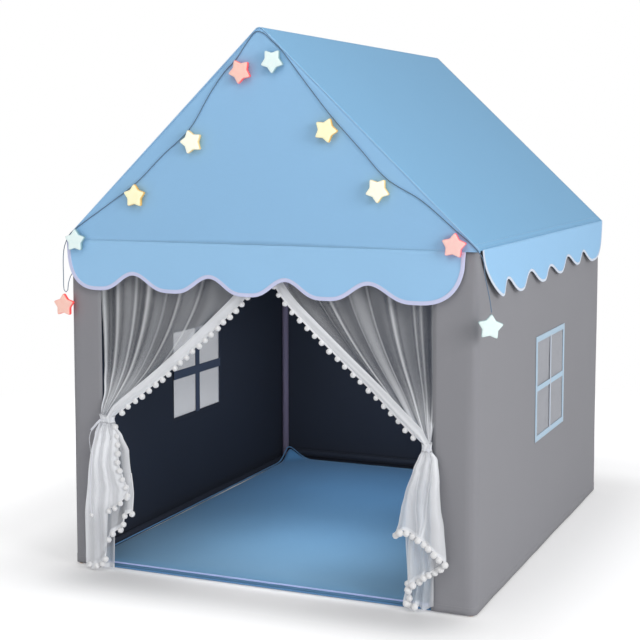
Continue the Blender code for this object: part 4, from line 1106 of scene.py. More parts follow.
# The loose ends at each knot: label, body, width, and the places that they pass
RIBBONS = {"left": [("ribbon", "root", 0.0060, [(-0.016, -0.006, -0.001), (-0.024, -0.010, -0.010),
                                                (-0.033, -0.010, -0.020), (-0.042, -0.009, -0.029)]),
                    ("thread", "root", 0.0015, [(-0.040, -0.009, -0.027), (-0.046, -0.008, -0.040),
                                                (-0.049, -0.007, -0.052), (-0.048, -0.006, -0.068),
                                                (-0.046, -0.006, -0.084)])],
           "right": [("ribbon", "root", 0.0045, [(0.003, -0.009, -0.001), (0.006, -0.0115, -0.004),
                                                 (0.010, -0.0120, -0.007)]),
                     ("thread", "curtain_tail_right", 0.0015,
                      [(0.008, -0.012, -0.009), (0.010, -0.014, -0.024), (0.009, -0.018, -0.040)])]}
for x_name, side in SIDES.items():
    tie_x, neck = NECKS[x_name]
    centre = Vector((side * tie_x, tie.y, tie.z))
    half_depth = (tie_high.y - tie_low.y) / 2 - 0.0012

    def tie_around(angle, level, out):
        """A place round the bundle, drawn in at the waist and flatter where it lies on the wall."""
        x, y = math.cos(angle), math.sin(angle)
        waist = TIE_WAIST + 0.22 * level * level
        wide = neck * math.copysign(abs(x) ** 0.75, x) * waist
        deep = half_depth * math.copysign(abs(y) ** 0.75, y) * (waist if y < 0.0 else TIE_WAIST)
        flat = Vector((wide, deep, 0.0))
        rise = level * (TIE_RISE if level > 0.0 else TIE_DROP)
        return centre + flat + flat.normalized() * out + Vector((0.0, 0.0, rise))

    def tie_place(i, j, depth):
        angle = math.tau * i / BAND_COLUMNS
        level = 2 * j / BAND_ROWS - 1
        crease = TIE_CREASE * math.sin(angle * 16 + 0.8 * math.sin(angle * 3) + 0.5 * level)
        crease += 0.4 * TIE_CREASE * math.sin(angle * 41 - level)
        return tie_around(angle, level, crease - depth)

    def tie_cover(i, j):
        """Dense at the waist, and thin where it opens into the cloth above and below."""
        return 0.97 * (1.0 - ease((abs(2 * j / BAND_ROWS - 1) - 0.35) / 0.65))

    band = sewn_sheet(f"curtain_tie_band_{x_name}", BAND_COLUMNS, BAND_ROWS, tie_place,
                      lambda i, j: (0.1 * i / BAND_COLUMNS, 0.022 * j / BAND_ROWS), [voile], TIE_CLOTH,
                      cover=tie_cover)
    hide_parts(f"curtain_tie_{x_name}")
    string_ring = [tie_around(math.tau * k / 60, 0.0, 0.0006) for k in range(61)]
    grow(trim_tree, f"curtain_string_{x_name}", "sheer_curtain", [string_ring], Width=0.0020,
         Thickness=0.0016, Facing=(0.0, 0.0, 1.0), Finish=ribbon_voile)
    for label, body, width, route in RIBBONS[x_name]:
        grow(trim_tree, f"curtain_{label}_{x_name}", "sheer_curtain", [[centre + Vector(p) for p in route]],
             body, Width=width, Thickness=0.0007, Facing=(0.0, -1.0, 0.2), Finish=ribbon_voile)


# Curtain tails: below each tie the voile falls in a cascade of three layers, a dense front fan, a
# longer one behind it and a sheer one to the floor, with balls along their slanting hems.

tail_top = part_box("curtain_tail_right")[1].z


def read_off(pairs, t):
    """Smooth reading of a short list of (place, value) pairs."""
    t = max(t, pairs[0][0])
    for (t0, v0), (t1, v1) in zip(pairs, pairs[1:]):
        if t <= t1:
            share = (t - t0) / (t1 - t0)
            return v0 + (v1 - v0) * (0.5 * ease(share) + 0.5 * share)
    return pairs[-1][1]


LAYER_GAP = 0.0095
TAIL_FOLDS = 3
# The two upright edges of each layer as (drop below the tie, distance from the door's middle), its
# hem as (share of the way from the jamb to the door, height), how far forward it hangs, and its
# density
TAIL_LAYERS = {
    "left": {
        "back": ([(0.0, 0.441), (0.024, 0.453), (0.07, 0.463), (0.146, 0.470), (0.2285, 0.480), (0.30, 0.484),
                  (0.37, 0.483)],
                 [(0.0, 0.404), (0.064, 0.375), (0.16, 0.372), (0.24, 0.390), (0.28, 0.399), (0.37, 0.401)],
                 [(0.0, 0.004), (1.0, 0.004)], -LAYER_GAP, 0.30),
        "middle": ([(0.0, 0.439), (0.024, 0.452), (0.07, 0.462), (0.146, 0.469), (0.2285, 0.479),
                    (0.34, 0.482)],
                   [(0.0, 0.400), (0.030, 0.374), (0.064, 0.355), (0.17, 0.343), (0.22, 0.346)],
                   [(0.0, 0.012), (0.25, 0.014), (0.42, 0.060), (0.57, 0.098), (0.72, 0.110), (0.82, 0.124),
                    (0.86, 0.151), (1.0, 0.155)], 0.0, 0.40),
        "front": ([(0.0, 0.437), (0.024, 0.451), (0.07, 0.460), (0.146, 0.466), (0.2285, 0.475)],
                  [(0.0, 0.396), (0.039, 0.3865), (0.091, 0.381), (0.132, 0.366), (0.158, 0.352),
                   (0.173, 0.356)],
                  [(0.0, 0.002), (0.13, 0.003), (0.30, 0.013), (0.46, 0.027), (0.52, 0.040), (0.57, 0.160),
                   (0.70, 0.167), (0.86, 0.181), (1.0, 0.198)], LAYER_GAP, 0.93)},
    "right": {
        "back": ([(0.0, 0.424), (0.06, 0.429), (0.37, 0.432)],
                 [(0.0, 0.401), (0.04, 0.384), (0.10, 0.368), (0.20, 0.364), (0.30, 0.370), (0.35, 0.359),
                  (0.37, 0.357)],
                 [(0.0, 0.018), (0.3, 0.005), (0.55, 0.012), (0.8, 0.004), (1.0, 0.014)], -LAYER_GAP, 0.40),
        "middle": ([(0.0, 0.425), (0.065, 0.444), (0.17, 0.451), (0.26, 0.453)],
                   [(0.0, 0.401), (0.07, 0.380), (0.20, 0.373), (0.31, 0.372)],
                   [(0.0, 0.114), (0.4, 0.096), (0.7, 0.076), (1.0, 0.059)], 0.0, 0.46),
        "front": ([(0.0, 0.425), (0.015, 0.438), (0.065, 0.446), (0.12, 0.451), (0.166, 0.459),
                   (0.24, 0.465)],
                  [(0.0, 0.400), (0.012, 0.393), (0.04, 0.382), (0.10, 0.365), (0.132, 0.357),
                   (0.162, 0.352), (0.19, 0.344)],
                  [(0.0, 0.126), (0.10, 0.134), (0.30, 0.159), (0.56, 0.180), (0.85, 0.193), (1.0, 0.183)],
                  LAYER_GAP, 0.57)},
}
# Creases that cross a layer: share of the width at the tie and at the hem, half width, and how much
# denser the cloth looks there
TAIL_CREASES = {
    ("right", "front"): [(0.22, 0.46, 0.020, 0.32), (0.80, 0.54, 0.020, 0.32), (0.36, 0.50, 0.012, 0.2)],
    ("left", "front"): [(0.22, 0.16, 0.03, 0.10), (0.62, 0.45, 0.03, 0.06), (0.85, 0.70, 0.02, 0.06)]}
TAIL_BALLS = {"left": (0.0200, 0.0072), "right": (0.0165, 0.0078)}
TAIL_STAND_OFF = 0.0180
TAIL_FOLD_DEPTH = 0.0042
TAIL_COLUMNS = 110
TAIL_ROWS = 44
# The last rows of a layer are its doubled hem
TAIL_HEM_START = 0.965
# Fine ripples across a layer, and how far round them its jamb edge is
RIPPLES = 9
RIPPLE_START = 2.0
# The lowest that a row of balls hangs
BALL_REST = 0.0180


def smooth_path(route, gap):
    """Points about a gap apart on a smooth curve that passes through every point of the route."""
    ends = [route[0] * 2 - route[1], *route, route[-1] * 2 - route[-2]]
    path = []
    for before, a, b, after in zip(ends, ends[1:], ends[2:], ends[3:]):
        span = (b - a).length
        leave = (b - before) * span / (span + (a - before).length)
        arrive = (after - a) * span / (span + (after - b).length)
        steps = max(1, round(span / gap))
        for i in range(steps):
            t = i / steps
            path.append(a * (2 * t ** 3 - 3 * t ** 2 + 1) + b * (3 * t ** 2 - 2 * t ** 3)
                        + leave * (t ** 3 - 2 * t ** 2 + t) + arrive * (t ** 3 - t ** 2))
    return path + [route[-1]]


def tail_phase(x_name, layer, u, v):
    """How far round its folds the cloth is: they are uneven, and drift a little on the way down."""
    drift = noise.noise(Vector((u * 2.2, v * 0.9, SIDES[x_name] * 3.0 + len(layer))))
    return math.tau * TAIL_FOLDS * u + 2.4 * drift


def tail_place(x_name, layer, u, v):
    """A place on a layer: u goes from its jamb edge to its door edge, and v from the tie to its hem."""
    jamb_edge, door_edge, hem_line, forward = TAIL_LAYERS[x_name][layer][:4]
    hem = read_off(hem_line, u)
    z = tail_top + (hem - tail_top) * v
    jamb = read_off(jamb_edge, tail_top - z)
    door = read_off(door_edge, tail_top - z)
    fallen = ease((tail_top - z) / 0.11)
    y = tie.y + (-wall_y - TAIL_STAND_OFF - tie.y - forward) * fallen
    depth = TAIL_FOLD_DEPTH * (0.4 + 0.6 * fallen)
    y += depth * math.sin(tail_phase(x_name, layer, u, v) + 1.2 * forward / LAYER_GAP)
    y += 0.0003 * math.sin(math.tau * RIPPLES * u + RIPPLE_START) * fallen
    return Vector((SIDES[x_name] * (jamb + (door - jamb) * u), y, z))


def tail_cover(x_name, layer, u, v):
    """Density of a layer: folds seen edge on, both selvages and the hem are denser, the rest is thin."""
    density = TAIL_LAYERS[x_name][layer][4]
    turned = 0.5 + 0.5 * math.cos(tail_phase(x_name, layer, u, v) - 0.8)
    fine = 0.5 + 0.5 * math.sin(math.tau * RIPPLES * u + RIPPLE_START + 2.0 * v)
    selvage = math.exp(-(min(u, 1.0 - u) / 0.14) ** 2)
    gathered = 1.0 - ease(v / 0.40)
    z = tail_top + (read_off(TAIL_LAYERS[x_name][layer][2], u) - tail_top) * v
    if (x_name, layer) == ("left", "front"):
        density *= 1.0 - 0.42 * ease((0.185 - z) / 0.08)
    cover = density * (0.86 + 0.18 * turned + 0.04 * fine)
    cover += 0.30 * gathered
    cover += 0.50 * selvage * (1.0 - density)
    for u_top, u_foot, width, weight in TAIL_CREASES.get((x_name, layer), []):
        cover += weight * math.exp(-((u - u_top - (u_foot - u_top) * v) / width) ** 2)
    if v > TAIL_HEM_START:
        cover = 0.90 if layer == "front" or u > 0.5 else 0.55
    return min(cover, 0.97)


def tail_row(x_name, layer, places):
    """Points along a line of (u, v) places on a layer, a hair in front of it."""
    points = []
    for (u0, v0), (u1, v1) in zip(places, places[1:]):
        for k in range(40):
            u, v = u0 + (u1 - u0) * k / 40, v0 + (v1 - v0) * k / 40
            points.append(tail_place(x_name, layer, u, v) + Vector((0.0, -0.0012, 0.0)))
    return points


# Where braid and balls run along each layer, as (u, v) places
TAIL_TRIMS = {"left": {"front": [[(1.0, 0.02), (1.0, 1.0)], [(1.0, 1.0), (0.57, 1.0)],
                                 [(0.52, 1.0), (0.10, 1.0)]],
                       "middle": [[(1.0, 0.55), (1.0, 1.0)], [(1.0, 1.0), (0.50, 1.0)]],
                       "back": []},
              "right": {"front": [[(1.0, 1.0), (0.0, 1.0)]],
                        "middle": [[(1.0, 1.0), (0.0, 1.0)]],
                        "back": [[(1.0, 0.84), (0.80, 0.93), (0.95, 0.985), (0.60, 0.980)]]}}
# The one row that has braid alone, as side, layer and number
UNBALLED = ("left", "middle", 0)
# The long end of the left string, from its knot down the jamb side of the tail
LONG_END = [(-0.016, -0.012, -0.012), (-0.026, -0.024, -0.056), (-0.031, -0.029, -0.130),
            (-0.034, -0.030, -0.202), (-0.031, -0.030, -0.234)]
for x_name, side in SIDES.items():
    body = f"curtain_tail_{x_name}"
    for layer in ("back", "middle", "front"):
        label = f"tail_{layer}_{x_name}"
        tail = sewn_sheet(f"{label}_cloth", TAIL_COLUMNS, TAIL_ROWS,
                          lambda i, j, depth: tail_place(x_name, layer, i / TAIL_COLUMNS, j / TAIL_ROWS),
                          lambda i, j: (0.30 * i / TAIL_COLUMNS, 0.37 * j / TAIL_ROWS), [voile],
                          cover=lambda i, j: tail_cover(x_name, layer, i / TAIL_COLUMNS, j / TAIL_ROWS),
                          body=body)
        if layer == "front":
            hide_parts(body)
        rows = [tail_row(x_name, layer, places) for places in TAIL_TRIMS[x_name][layer]]
        if not rows:
            continue
        grow(trim_tree, f"{label}_braid", "sheer_curtain", rows, body, Width=0.0038, Thickness=0.0015,
             Facing=(0.0, -1.0, 0.0), Finish=braid_white)
        balled = [[Vector((p.x, p.y, max(p.z, BALL_REST))) for p in row]
                  for number, row in enumerate(rows) if (x_name, layer, number) != UNBALLED]
        hang_balls(f"{label}_balls", body, balled, TAIL_BALLS[x_name], 21 + side)

knot = Vector((-NECKS["left"][0], tie.y, tie.z))
hanging_end = smooth_path([knot + Vector(p) for p in LONG_END], 0.010)
grow(trim_tree, "curtain_long_end_left", "sheer_curtain", [hanging_end], "curtain_tail_left",
     Width=0.0026, Thickness=0.0012, Facing=(0.0, -1.0, 0.0), Finish=ribbon_voile)
end_of_string = [hanging_end[-1], hanging_end[-1] + Vector((0.0, 0.0, -0.0004))]
grow(ball_tree, "curtain_end_ball_left", "sheer_curtain", [end_of_string], "curtain_tail_left",
     Pitch=0.05, Radius=0.0042, Drop=0.002, Fluff=0.0020, Seed=5, Finish=ball_white)


# Floor mat: a soft quilt of blue short plush with a thin filling, piped in lavender along the door and
# in its own blue round the other sides and the bottom. Its far left corner rides up the corner pole.

mat_low, mat_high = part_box("floor_mat")
MAT_EDGE = 0.0155
MAT_FLATTEN = 0.87
MAT_CURL = 0.040
MAT_CURL_REACH = 0.110
MAT_VOXEL = 0.011
MAT_SWELL_LIMIT = 0.004
MAT_FRAMES = 12
MAT_RUMPLE = 0.0016


def eased(value, start, end):
    """0 where a value is at its start and 1 where it is at its end, with soft ends."""
    return value.node("ShaderNodeMapRange", {"interpolation_type": "SMOOTHSTEP"},
                      {0: value, 1: start, 2: end})


def plush(name, colour, sheen_painted_tone):
    """Short pile, in a colour that turns greyer and less blue towards the door: painted sheen and light from
    outside.
    """
    def paint(shade):
        place = own_place(shade)
        by_door = eased(part_of(place, "Y"), 0.50, -0.62)
        pile = cloud(place, 420.0, 3.0)
        strokes = cloud(stretched(place, (3.0, 1.6, 3.0)), 1.0, 3.0)
        mix = 0.65 * strokes + 0.35 * pile
        shades = [tinted(mix, tone, 0.84, 1.14) for tone in (colour, sheen_painted_tone)]
        return {"Base Color": by_door.blend(*shades), "Roughness": 0.78 + 0.14 * pile,
                "Normal": bump(0.0006 * pile + 0.002 * strokes, 1.0, 0.6)}

    return material(name, {"Sheen Weight": 0.12, "Sheen Roughness": 0.45, "Specular IOR Level": 0.2}, paint)


# The second colour, towards the door, is painted sheen and light
mat_blue = plush("mat_blue", dye(93, 151, 205), dye(104, 147, 181))
mat = nodes["floor_mat"].copy()
mat.data = nodes["floor_mat"].data.copy()
mat.name = "mat_pad"
mat.parent = None
for key in list(mat.keys()):
    if key.startswith("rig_"):
        del mat[key]
bpy.context.scene.collection.objects.link(mat)
shape = bmesh.new()
shape.from_mesh(mat.data)
bmesh.ops.remove_doubles(shape, verts=shape.verts, dist=0.0001)
shape.to_mesh(mat.data)
shape.free()
mat.hide_render = False
mat.hide_viewport = False
remesh = mat.modifiers.new("remesh", "REMESH")
remesh.mode = "VOXEL"
remesh.voxel_size = MAT_VOXEL


def settle(piece):
    """Keeps what a piece's modifiers make of it as its own mesh."""
    graph = bpy.context.evaluated_depsgraph_get()
    data = bpy.data.meshes.new_from_object(piece.evaluated_get(graph), depsgraph=graph)
    piece.modifiers.clear()
    piece.data = data


settle(mat)
before = [v.co.copy() for v in mat.data.vertices]
cloth = mat.modifiers.new("cloth", "CLOTH")
cloth.settings.use_pressure = True
cloth.settings.uniform_pressure_force = 2.0
cloth.settings.effector_weights.gravity = 0.0
cloth.settings.quality = 4
for number in range(1, MAT_FRAMES + 1):
    bpy.context.scene.frame_set(number)
settle(mat)
bpy.context.scene.frame_set(1)
for vertex, rest in zip(mat.data.vertices, before):
    move = vertex.co - rest
    if move.length > MAT_SWELL_LIMIT:
        move *= MAT_SWELL_LIMIT / move.length
    place = rest + move
    corner = Vector((place.x - mat_low.x, place.y - mat_high.y))
    curl = ease(1.0 - corner.length / MAT_CURL_REACH)
    rumple = MAT_RUMPLE * noise.noise(Vector((place.x * 7.0, place.y * 7.0, 0.0)))
    top_share = ease(rest.z / mat_high.z)
    # The underside curls up half as far as the top
    lifted = max(0.5, ease(rest.z / 0.010))
    place.z = MAT_FLATTEN * place.z + top_share * rumple + lifted * MAT_CURL * curl * curl
    place.z = max(place.z, 0.0)
    place.x = min(max(place.x, mat_low.x), mat_high.x)
    place.y = min(max(place.y, mat_low.y), mat_high.y)
    vertex.co = place
finer = mat.modifiers.new("finer", "SUBSURF")
finer.levels = 1
finer.render_levels = 1
settle(mat)
refinish(mat, mat_blue)
mat.data.shade_smooth()
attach(mat, "root")
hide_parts("floor_mat")

MAT_CORNER = 0.016
MAT_PIPING = 0.0040
PIPING_INSET = 0.004
CORNER_STEPS = 6
mat_rim = []
for x, y, first in ((mat_low.x, mat_high.y, 90), (mat_low.x, mat_low.y, 180), (mat_high.x, mat_low.y, 270),
                    (mat_high.x, mat_high.y, 0)):
    for step in range(CORNER_STEPS + 1):
        angle = math.radians(first + 90 * step / CORNER_STEPS)
        cx = x - math.copysign(MAT_CORNER, x)
        cy = y - math.copysign(MAT_CORNER, y)
        reach = MAT_CORNER - PIPING_INSET
        mat_rim.append((cx + reach * math.cos(angle), cy + reach * math.sin(angle)))
mat_rim.append(mat_rim[0])
piping_lavender = woven("piping_lavender", dye(176, 192, 238), thread=0.0009, tone=0.05)
piping_deep = woven("piping_deep", dye(100, 146, 190), thread=0.0009, tone=0.05)


def mat_ring(level, lift_share):
    """The mat's outline at a height, from its far left corner round by the door."""
    ring = []
    for (x0, y0), (x1, y1) in zip(mat_rim, mat_rim[1:]):
        count = max(1, math.ceil(math.hypot(x1 - x0, y1 - y0) / 0.012))
        for k in range(count):
            x, y = x0 + (x1 - x0) * k / count, y0 + (y1 - y0) * k / count
            curl = ease(1.0 - Vector((x - mat_low.x, y - mat_high.y)).length / MAT_CURL_REACH)
            ring.append((x, y, level + lift_share * MAT_CURL * curl * curl))
    return ring + ring[:1]


top_ring = mat_ring(MAT_EDGE - 0.001, 1.0)
at_door = [p for p in top_ring if p[1] < mat_low.y + 0.010]
first = top_ring.index(at_door[0])
other_sides = [top_ring[:first + 1], top_ring[first + len(at_door) - 1:]]
for label, runs, finish in (("door", [at_door], piping_lavender), ("sides", other_sides, piping_deep),
                            ("bottom", [mat_ring(0.0030, 0.5)], piping_deep)):
    grow(trim_tree, f"mat_piping_{label}", "floor_mat", runs, Width=MAT_PIPING, Thickness=MAT_PIPING,
         Facing=(0.0, 0.0, 1.0), Finish=finish)


# Battery box: a small white case on the inside of the left wall, with a sliding cover, a dark
# switch and a coin cell. It feeds the star lights.

def satin_steel(name, colour):
    return grained(name, colour, lambda place: cloud(stretched(place, (40.0, 900.0, 900.0)), 1.0),
                   (0.8, 1.0), (0.25, 0.2), 0.00005, {"Metallic": 1.0})


case_white = moulded("case_white", dye(228, 228, 224), 0.38)
switch_grey = moulded("switch_grey", dye(70, 78, 88), 0.45)
for node_name, finish in (("battery_box", case_white), ("battery_cover", case_white),
                          ("battery_switch", switch_grey),
                          ("battery_cell", satin_steel("cell_steel", dye(205, 205, 205)))):
    refinish(nodes[node_name], finish)


# Star lights: ten moulded stars with a flat, frosted face and deeper coloured sides. Each hangs by
# one point on its own body and is lit from inside.

# Colour of the face, colour of the sides, and how strongly the face and the sides glow
STAR_COLOURS = {"mint": ((230, 246, 244), (118, 160, 168), 0.34, 0.06),
                "yellow": ((255, 251, 208), (214, 158, 48), 0.34, 0.40),
                "pale": ((255, 255, 236), (226, 188, 108), 0.34, 0.36),
                "red": ((252, 204, 190), (210, 40, 44), 0.30, 0.85),
                "pink": ((254, 208, 200), (210, 66, 84), 0.30, 0.65)}
STAR_REFLECTS = 0.78
STAR_RADIUS = 0.0305
STAR_NOTCH = 0.61
STAR_TIP_ROUND = 0.0050
STAR_TIP_DROP = 0.001
CORD_RADIUS = 0.0010
STAR_BACK = CORD_RADIUS + 0.0005
STAR_THICKNESS = 0.013
# Share of the roof's half width, drop under its slope, lean of the upper point, turn, and colour
STARS = [(-1.003, 0.165, 0, 0, "red"), (-0.937, 0.037, 0, 0, "mint"), (-0.619, 0.086, 0, 0, "yellow"),
         (-0.326, 0.104, -17, 0, "pale"), (-0.084, 0.064, -28, 0, "red"), (0.070, 0.049, 36, 0, "mint"),
         (0.320, 0.081, 22, 0, "yellow"), (0.555, 0.096, 36, 0, "pale"), (0.892, 0.045, 6, 0, "pink"),
         (1.046, 0.142, 5, 20, "mint")]
cord_plane = -roof_face - 0.0006 - CORD_RADIUS


def on_gable(share, drop):
    """A place on the cord's plane: a share of the roof's half width, and a drop under its slope."""
    x = share * roof_half
    return Vector((x, cord_plane, ridge_z - math.tan(pitch) * abs(x) - drop))


def lit_plastic(name, face, flank, face_glow, flank_glow):
    """Frosted plastic lit from inside: bright on the face, deeper in colour down the sides."""
    def paint(shade):
        level = shade.node("ShaderNodeAttribute", {"attribute_name": "cover"}, {}, "Fac")
        frost = cloud(own_place(shade), 800.0)
        mottled = level * (0.88 + 0.22 * cloud(own_place(shade), 110.0))
        glows = [tuple(c * glow for c in dye(*colour))
                 for colour, glow in ((flank, flank_glow), (face, face_glow))]
        skin = tuple(c * STAR_REFLECTS for c in dye(*face))
        return {"Base Color": mottled.blend(dye(*flank), skin), "Emission Color": mottled.blend(*glows),
                "Roughness": 0.32 + 0.12 * frost, "Normal": bump(frost, 0.0001)}

    return material(name, {"Emission Strength": 1.0}, paint)


star_finishes = {name: lit_plastic(f"star_{name}", *looks) for name, looks in STAR_COLOURS.items()}


def star_outline(radius, rounding):
    """A five-pointed star with round points and soft notches, its first point up."""
    corners = []
    for k in range(10):
        angle = math.pi * k / 5
        reach = radius if k % 2 == 0 else radius * STAR_NOTCH
        corners.append(Vector((math.sin(angle), math.cos(angle))) * reach)
    points = []
    for k, here in enumerate(corners):
        soft = rounding if k % 2 == 0 else rounding * 0.5
        start, end = [here + (near - here).normalized() * soft for near in (corners[k - 1], corners[k - 9])]
        for step in range(5):
            t = step / 4
            points.append(start * (1 - t) ** 2 + here * 2 * t * (1 - t) + end * t * t)
    return points


pivots = []
# A star's layers from back to front: inset of the outline, share of the thickness, and lightness
STAR_LAYERS = [(0.0042, 0.0, 0.0), (0.0022, 0.03, 0.0), (0.0006, 0.14, 0.0), (0.0, 0.30, 0.05),
               (0.0, 0.62, 0.15), (0.0006, 0.84, 0.45), (0.0022, 0.96, 0.95), (0.0042, 1.0, 1.0),
               (0.0120, 1.0, 1.0)]
for number, (share, drop, lean, turn, colour) in enumerate(STARS, start=1):
    middle = on_gable(share, drop)
    if turn:
        middle.y -= CORD_RADIUS
    angle = math.radians(lean)
    pivot = middle + Vector((math.sin(angle), 0.0, math.cos(angle))) * (STAR_RADIUS + STAR_TIP_DROP)
    pivots.append(pivot)
    turned = Matrix.Rotation(math.radians(turn), 3, "Z") @ Matrix.Rotation(angle, 3, "Y")
    shape = bmesh.new()
    level = shape.verts.layers.float.new("cover")
    rings = []
    for inset, share_deep, lightness in STAR_LAYERS:
        depth = -STAR_BACK - share_deep * STAR_THICKNESS
        ring = []
        for flat in star_outline(STAR_RADIUS - inset, STAR_TIP_ROUND):
            local = Vector((flat.x, depth, flat.y - STAR_RADIUS - STAR_TIP_DROP))
            vertex = shape.verts.new(pivot + turned @ local)
            vertex[level] = lightness
            ring.append(vertex)
        rings.append(ring)
    for low_ring, high_ring in zip(rings, rings[1:]):
        for k in range(len(low_ring)):
            m = (k + 1) % len(low_ring)
            shape.faces.new([low_ring[k], low_ring[m], high_ring[m], high_ring[k]])
    shape.faces.new(rings[0])
    shape.faces.new(rings[-1])
    for face in shape.faces:
        face.smooth = True
    bmesh.ops.recalc_face_normals(shape, faces=shape.faces)
    bmesh.ops.triangulate(shape, faces=[f for f in shape.faces if len(f.verts) > 4])
    name = f"star_{number:02d}"
    star = dress(f"{name}_light", shape, [star_finishes[colour]], name)
    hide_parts(name)


# Light cord: a thin slate-grey lead, 2 mm across and 2.04 m long, out of the battery box, round the
# left jamb, down to the first star, up from star to star over the gable and down at the right corner.

BOX_EXIT = Vector((-0.51335, -0.5832, 0.6655))
SLOT = Vector((-0.4345, -0.6370, 0.8146))
LEAD = [
    BOX_EXIT,
    BOX_EXIT + Vector((0.0000, 0.0000, 0.0135)),
    BOX_EXIT + Vector((0.0015, -0.0018, 0.0425)),
    BOX_EXIT + Vector((0.0135, -0.0088, 0.0785)),
    SLOT + Vector((-0.0395, 0.0290, -0.0486)),
    SLOT + Vector((-0.0115, 0.0170, -0.0436)),
    SLOT + Vector((0.0000, 0.0075, -0.0441)),
    SLOT + Vector((-0.0020, 0.0010, -0.0461)),
    SLOT + Vector((-0.0155, 0.0000, -0.0516)),
    SLOT + Vector((-0.0505, 0.0000, -0.0626)),
    SLOT + Vector((-0.0825, -0.0010, -0.0776)),
]
LEFT_DROP = [
    pivots[0] + Vector((0.0065, 0.0015, 0.022)),
    pivots[0] + Vector((0.0052, 0.0004, 0.0055)),
    pivots[0],
    pivots[0] + Vector((-0.0052, -0.0004, 0.0055)),
    pivots[0] + Vector((-0.0060, -0.0008, 0.030)),
    pivots[0] + Vector((-0.0040, -0.0004, 0.105)),
    pivots[1] + Vector((-0.0230, 0.0, -0.019)),
]
OVER_GABLE = [
    pivots[1], on_gable(-0.790, 0.029),
    pivots[2], on_gable(-0.485, 0.058),
    pivots[3], on_gable(-0.240, 0.035), on_gable(-0.170, 0.022),
    pivots[4], on_gable(-0.062, 0.012), on_gable(-0.016, 0.008), on_gable(0.022, 0.009),
    on_gable(0.062, 0.007),
    pivots[5], on_gable(0.220, 0.024),
    pivots[6], on_gable(0.468, 0.047),
    pivots[7], on_gable(0.745, 0.022),
    pivots[8], on_gable(0.962, 0.006),
]
RIGHT_DROP = [
    on_gable(1.012, 0.012),
    on_gable(1.021, 0.042) + Vector((0.0, -0.0006, 0.0)),
    pivots[9] + Vector((-0.0120, 0.0008, 0.062)),
    pivots[9] + Vector((-0.0040, 0.0002, 0.026)),
    pivots[9],
]


def flexible_lead(name, colour):
    return grained(name, colour, lambda place: cloud(place, 500.0), (1.0, 1.35), (0.38, 0.2), 0.0001, {})


cord_curve = bpy.data.curves.new("light_lead", "CURVE")
cord_curve.dimensions = "3D"
cord_curve.bevel_depth = CORD_RADIUS
cord_curve.bevel_resolution = 3
cord_curve.use_fill_caps = True
cord_points = smooth_path(LEAD + LEFT_DROP + OVER_GABLE + RIGHT_DROP, 0.010)
cord_line = cord_curve.splines.new("POLY")
cord_line.points.add(len(cord_points) - 1)
for point, place in zip(cord_line.points, cord_points):
    point.co = (*place, 1.0)
cord_curve.materials.append(flexible_lead("lead_grey", dye(84, 106, 130)))
light_lead = join_up("light_lead", cord_curve, "root")
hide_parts("light_cord")


# Studio: a pale floor that keeps the tent's shadow, with painted shadow that makes it greyer close to the
# tent and before its door, even soft light with a key from the right, and the camera where it stood for the
# picture.

def looked_at(shade):
    """1 for what the camera sees by itself, in a reflection or through a pane."""
    by_itself, glossy, through = [shade.node("ShaderNodeLightPath", {}, {}, f"Is {ray} Ray")
                                  for ray in ("Camera", "Glossy", "Transmission")]
    return shade.maths("MAXIMUM", by_itself, shade.maths("MAXIMUM", glossy, through))


WORLD_LIGHT = 0.50
world = bpy.data.worlds.new("studio")
bpy.context.scene.world = world
world.use_nodes = True
sky = Socket(world.node_tree)
backdrop = world.node_tree.nodes["Background"]
backdrop.inputs["Color"].default_value = (1.0, 1.0, 1.0, 1.0)
level = looked_at(sky) * (1.0 - WORLD_LIGHT) + WORLD_LIGHT
world.node_tree.links.new(level.socket, backdrop.inputs["Strength"])

FLOOR_SIZE = 60.0
FLOOR_DROP = 0.0005
floor_shape = bmesh.new()
bmesh.ops.create_grid(floor_shape, x_segments=8, y_segments=8, size=FLOOR_SIZE)
floor_data = bpy.data.meshes.new("studio_floor")
floor_shape.to_mesh(floor_data)
floor_shape.free()
floor = put_in("studio_floor", floor_data)
floor.location.z = -FLOOR_DROP
floor_finish = bpy.data.materials.new("studio_floor")
floor_finish.use_nodes = True
shade = Socket(floor_finish.node_tree)
shader = floor_finish.node_tree.nodes["Principled BSDF"]
shader.inputs["Base Color"].default_value = (0.90, 0.90, 0.91, 1.0)
shader.inputs["Roughness"].default_value = 0.9
place = own_place(shade)
mirrored = shade.node("ShaderNodeVectorMath", {"operation": "ABSOLUTE"}, {0: place})
beyond = shade.node("ShaderNodeVectorMath", {"operation": "SUBTRACT"},
                    {0: mirrored, 1: (wall_x, wall_y, 0.0)})
outside = shade.node("ShaderNodeVectorMath", {"operation": "MAXIMUM"}, {0: beyond, 1: (0.0, 0.0, 0.0)})
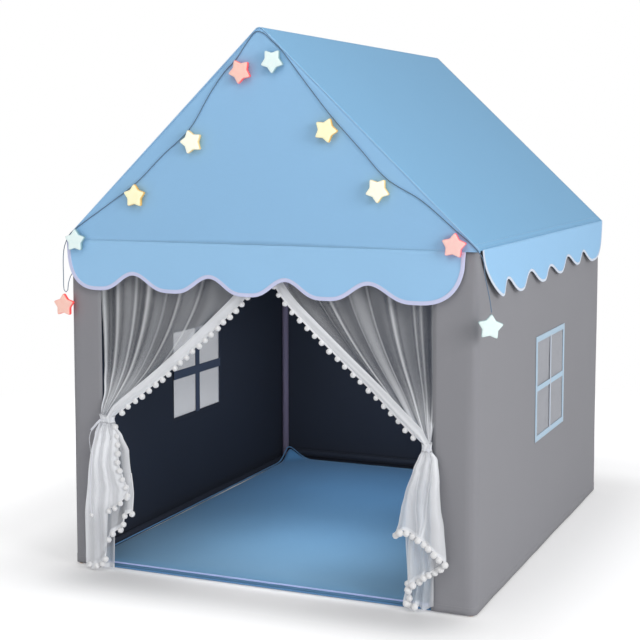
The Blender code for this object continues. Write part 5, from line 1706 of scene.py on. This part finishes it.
# How far a place on the floor is from the tent, and how far along and across
away = shade.node("ShaderNodeVectorMath", {"operation": "LENGTH"}, {0: outside}, 1)
ahead = part_of(place, "Y")
across = part_of(mirrored, "X")
off_shadow = eased(away, 0.03, 0.30)
far = eased(away, 0.30, 1.70)
painted_door_shadow = eased(ahead, -0.60, -0.68) * eased(ahead, -0.90, -0.70) * eased(across, 0.60, 0.38)
# Less glow close to the tent and before the door: painted shadow on the floor
glow = 1.8 + 0.9 * off_shadow - 1.7 * far - 1.7 * painted_door_shadow
lift = shade.node("ShaderNodeEmission", {}, {"Color": (1.0, 1.0, 1.0), "Strength": glow})
mixed = shade.node("ShaderNodeMixShader", {}, {0: (0.20 + 0.80 * far) * looked_at(shade),
                                               1: Socket(shade.tree, shader.outputs[0]), 2: lift})
surface = floor_finish.node_tree.nodes["Material Output"].inputs["Surface"]
floor_finish.node_tree.links.new(mixed.socket, surface)
floor_data.materials.append(floor_finish)


def soft_lamp(name, place, aim, size, power, spread=180):
    lamp = bpy.data.lights.new(name, "AREA")
    lamp.shape = "DISK"
    lamp.size = size
    lamp.energy = power
    lamp.spread = math.radians(spread)
    made = put_in(name, lamp)
    made.location = place
    made.rotation_euler = (Vector(aim) - Vector(place)).to_track_quat("-Z", "Y").to_euler()
    made.visible_camera = False


soft_lamp("key", (5.1, -2.5, 2.2), (0.0, 0.0, 0.6), 2.4, 122.0)
soft_lamp("front_fill", (-1.8, -2.7, 1.2), (-0.2, 0.0, 0.7), 1.4, 5.0)
soft_lamp("door_light", (0.3, -1.9, 2.3), (0.0, -0.40, 0.0), 1.0, 6.0)
soft_lamp("inside_door", (0.0, -0.36, 0.70), (0.0, -0.40, 0.0), 0.4, 0.72, 70)
soft_lamp("inside_middle", (0.0, 0.08, 0.62), (0.0, 0.08, 0.0), 0.5, 1.5)
soft_lamp("inside_back", (0.05, -0.25, 0.50), (0.10, 0.63, 0.42), 0.4, 1.2, 110)
soft_lamp("inside_left", (0.25, -0.05, 0.50), (-0.52, 0.10, 0.35), 0.4, 0.6, 110)
soft_lamp("inside_up", (0.0, 0.05, 0.60), (0.0, 0.05, 1.3), 0.5, 2.0)

FOCAL_PIXELS = 1399.0
FRAME_PIXELS = 640
HORIZON_PIXEL = 268.8
SENSOR = 36.0
TILT_DOWN = 5.159
TURN_LEFT = 23.03
camera_data = bpy.data.cameras.new("camera")
camera_data.sensor_width = SENSOR
camera_data.lens = FOCAL_PIXELS * SENSOR / FRAME_PIXELS
camera_data.shift_y = (HORIZON_PIXEL - FRAME_PIXELS / 2) / FRAME_PIXELS
camera = put_in("camera", camera_data)
camera.location = (1.3987, -3.5754, 1.0599)
camera.rotation_euler = (math.radians(90.0 - TILT_DOWN), 0.0, math.radians(TURN_LEFT))
bpy.context.scene.camera = camera
bpy.context.scene.view_settings.view_transform = "Standard"
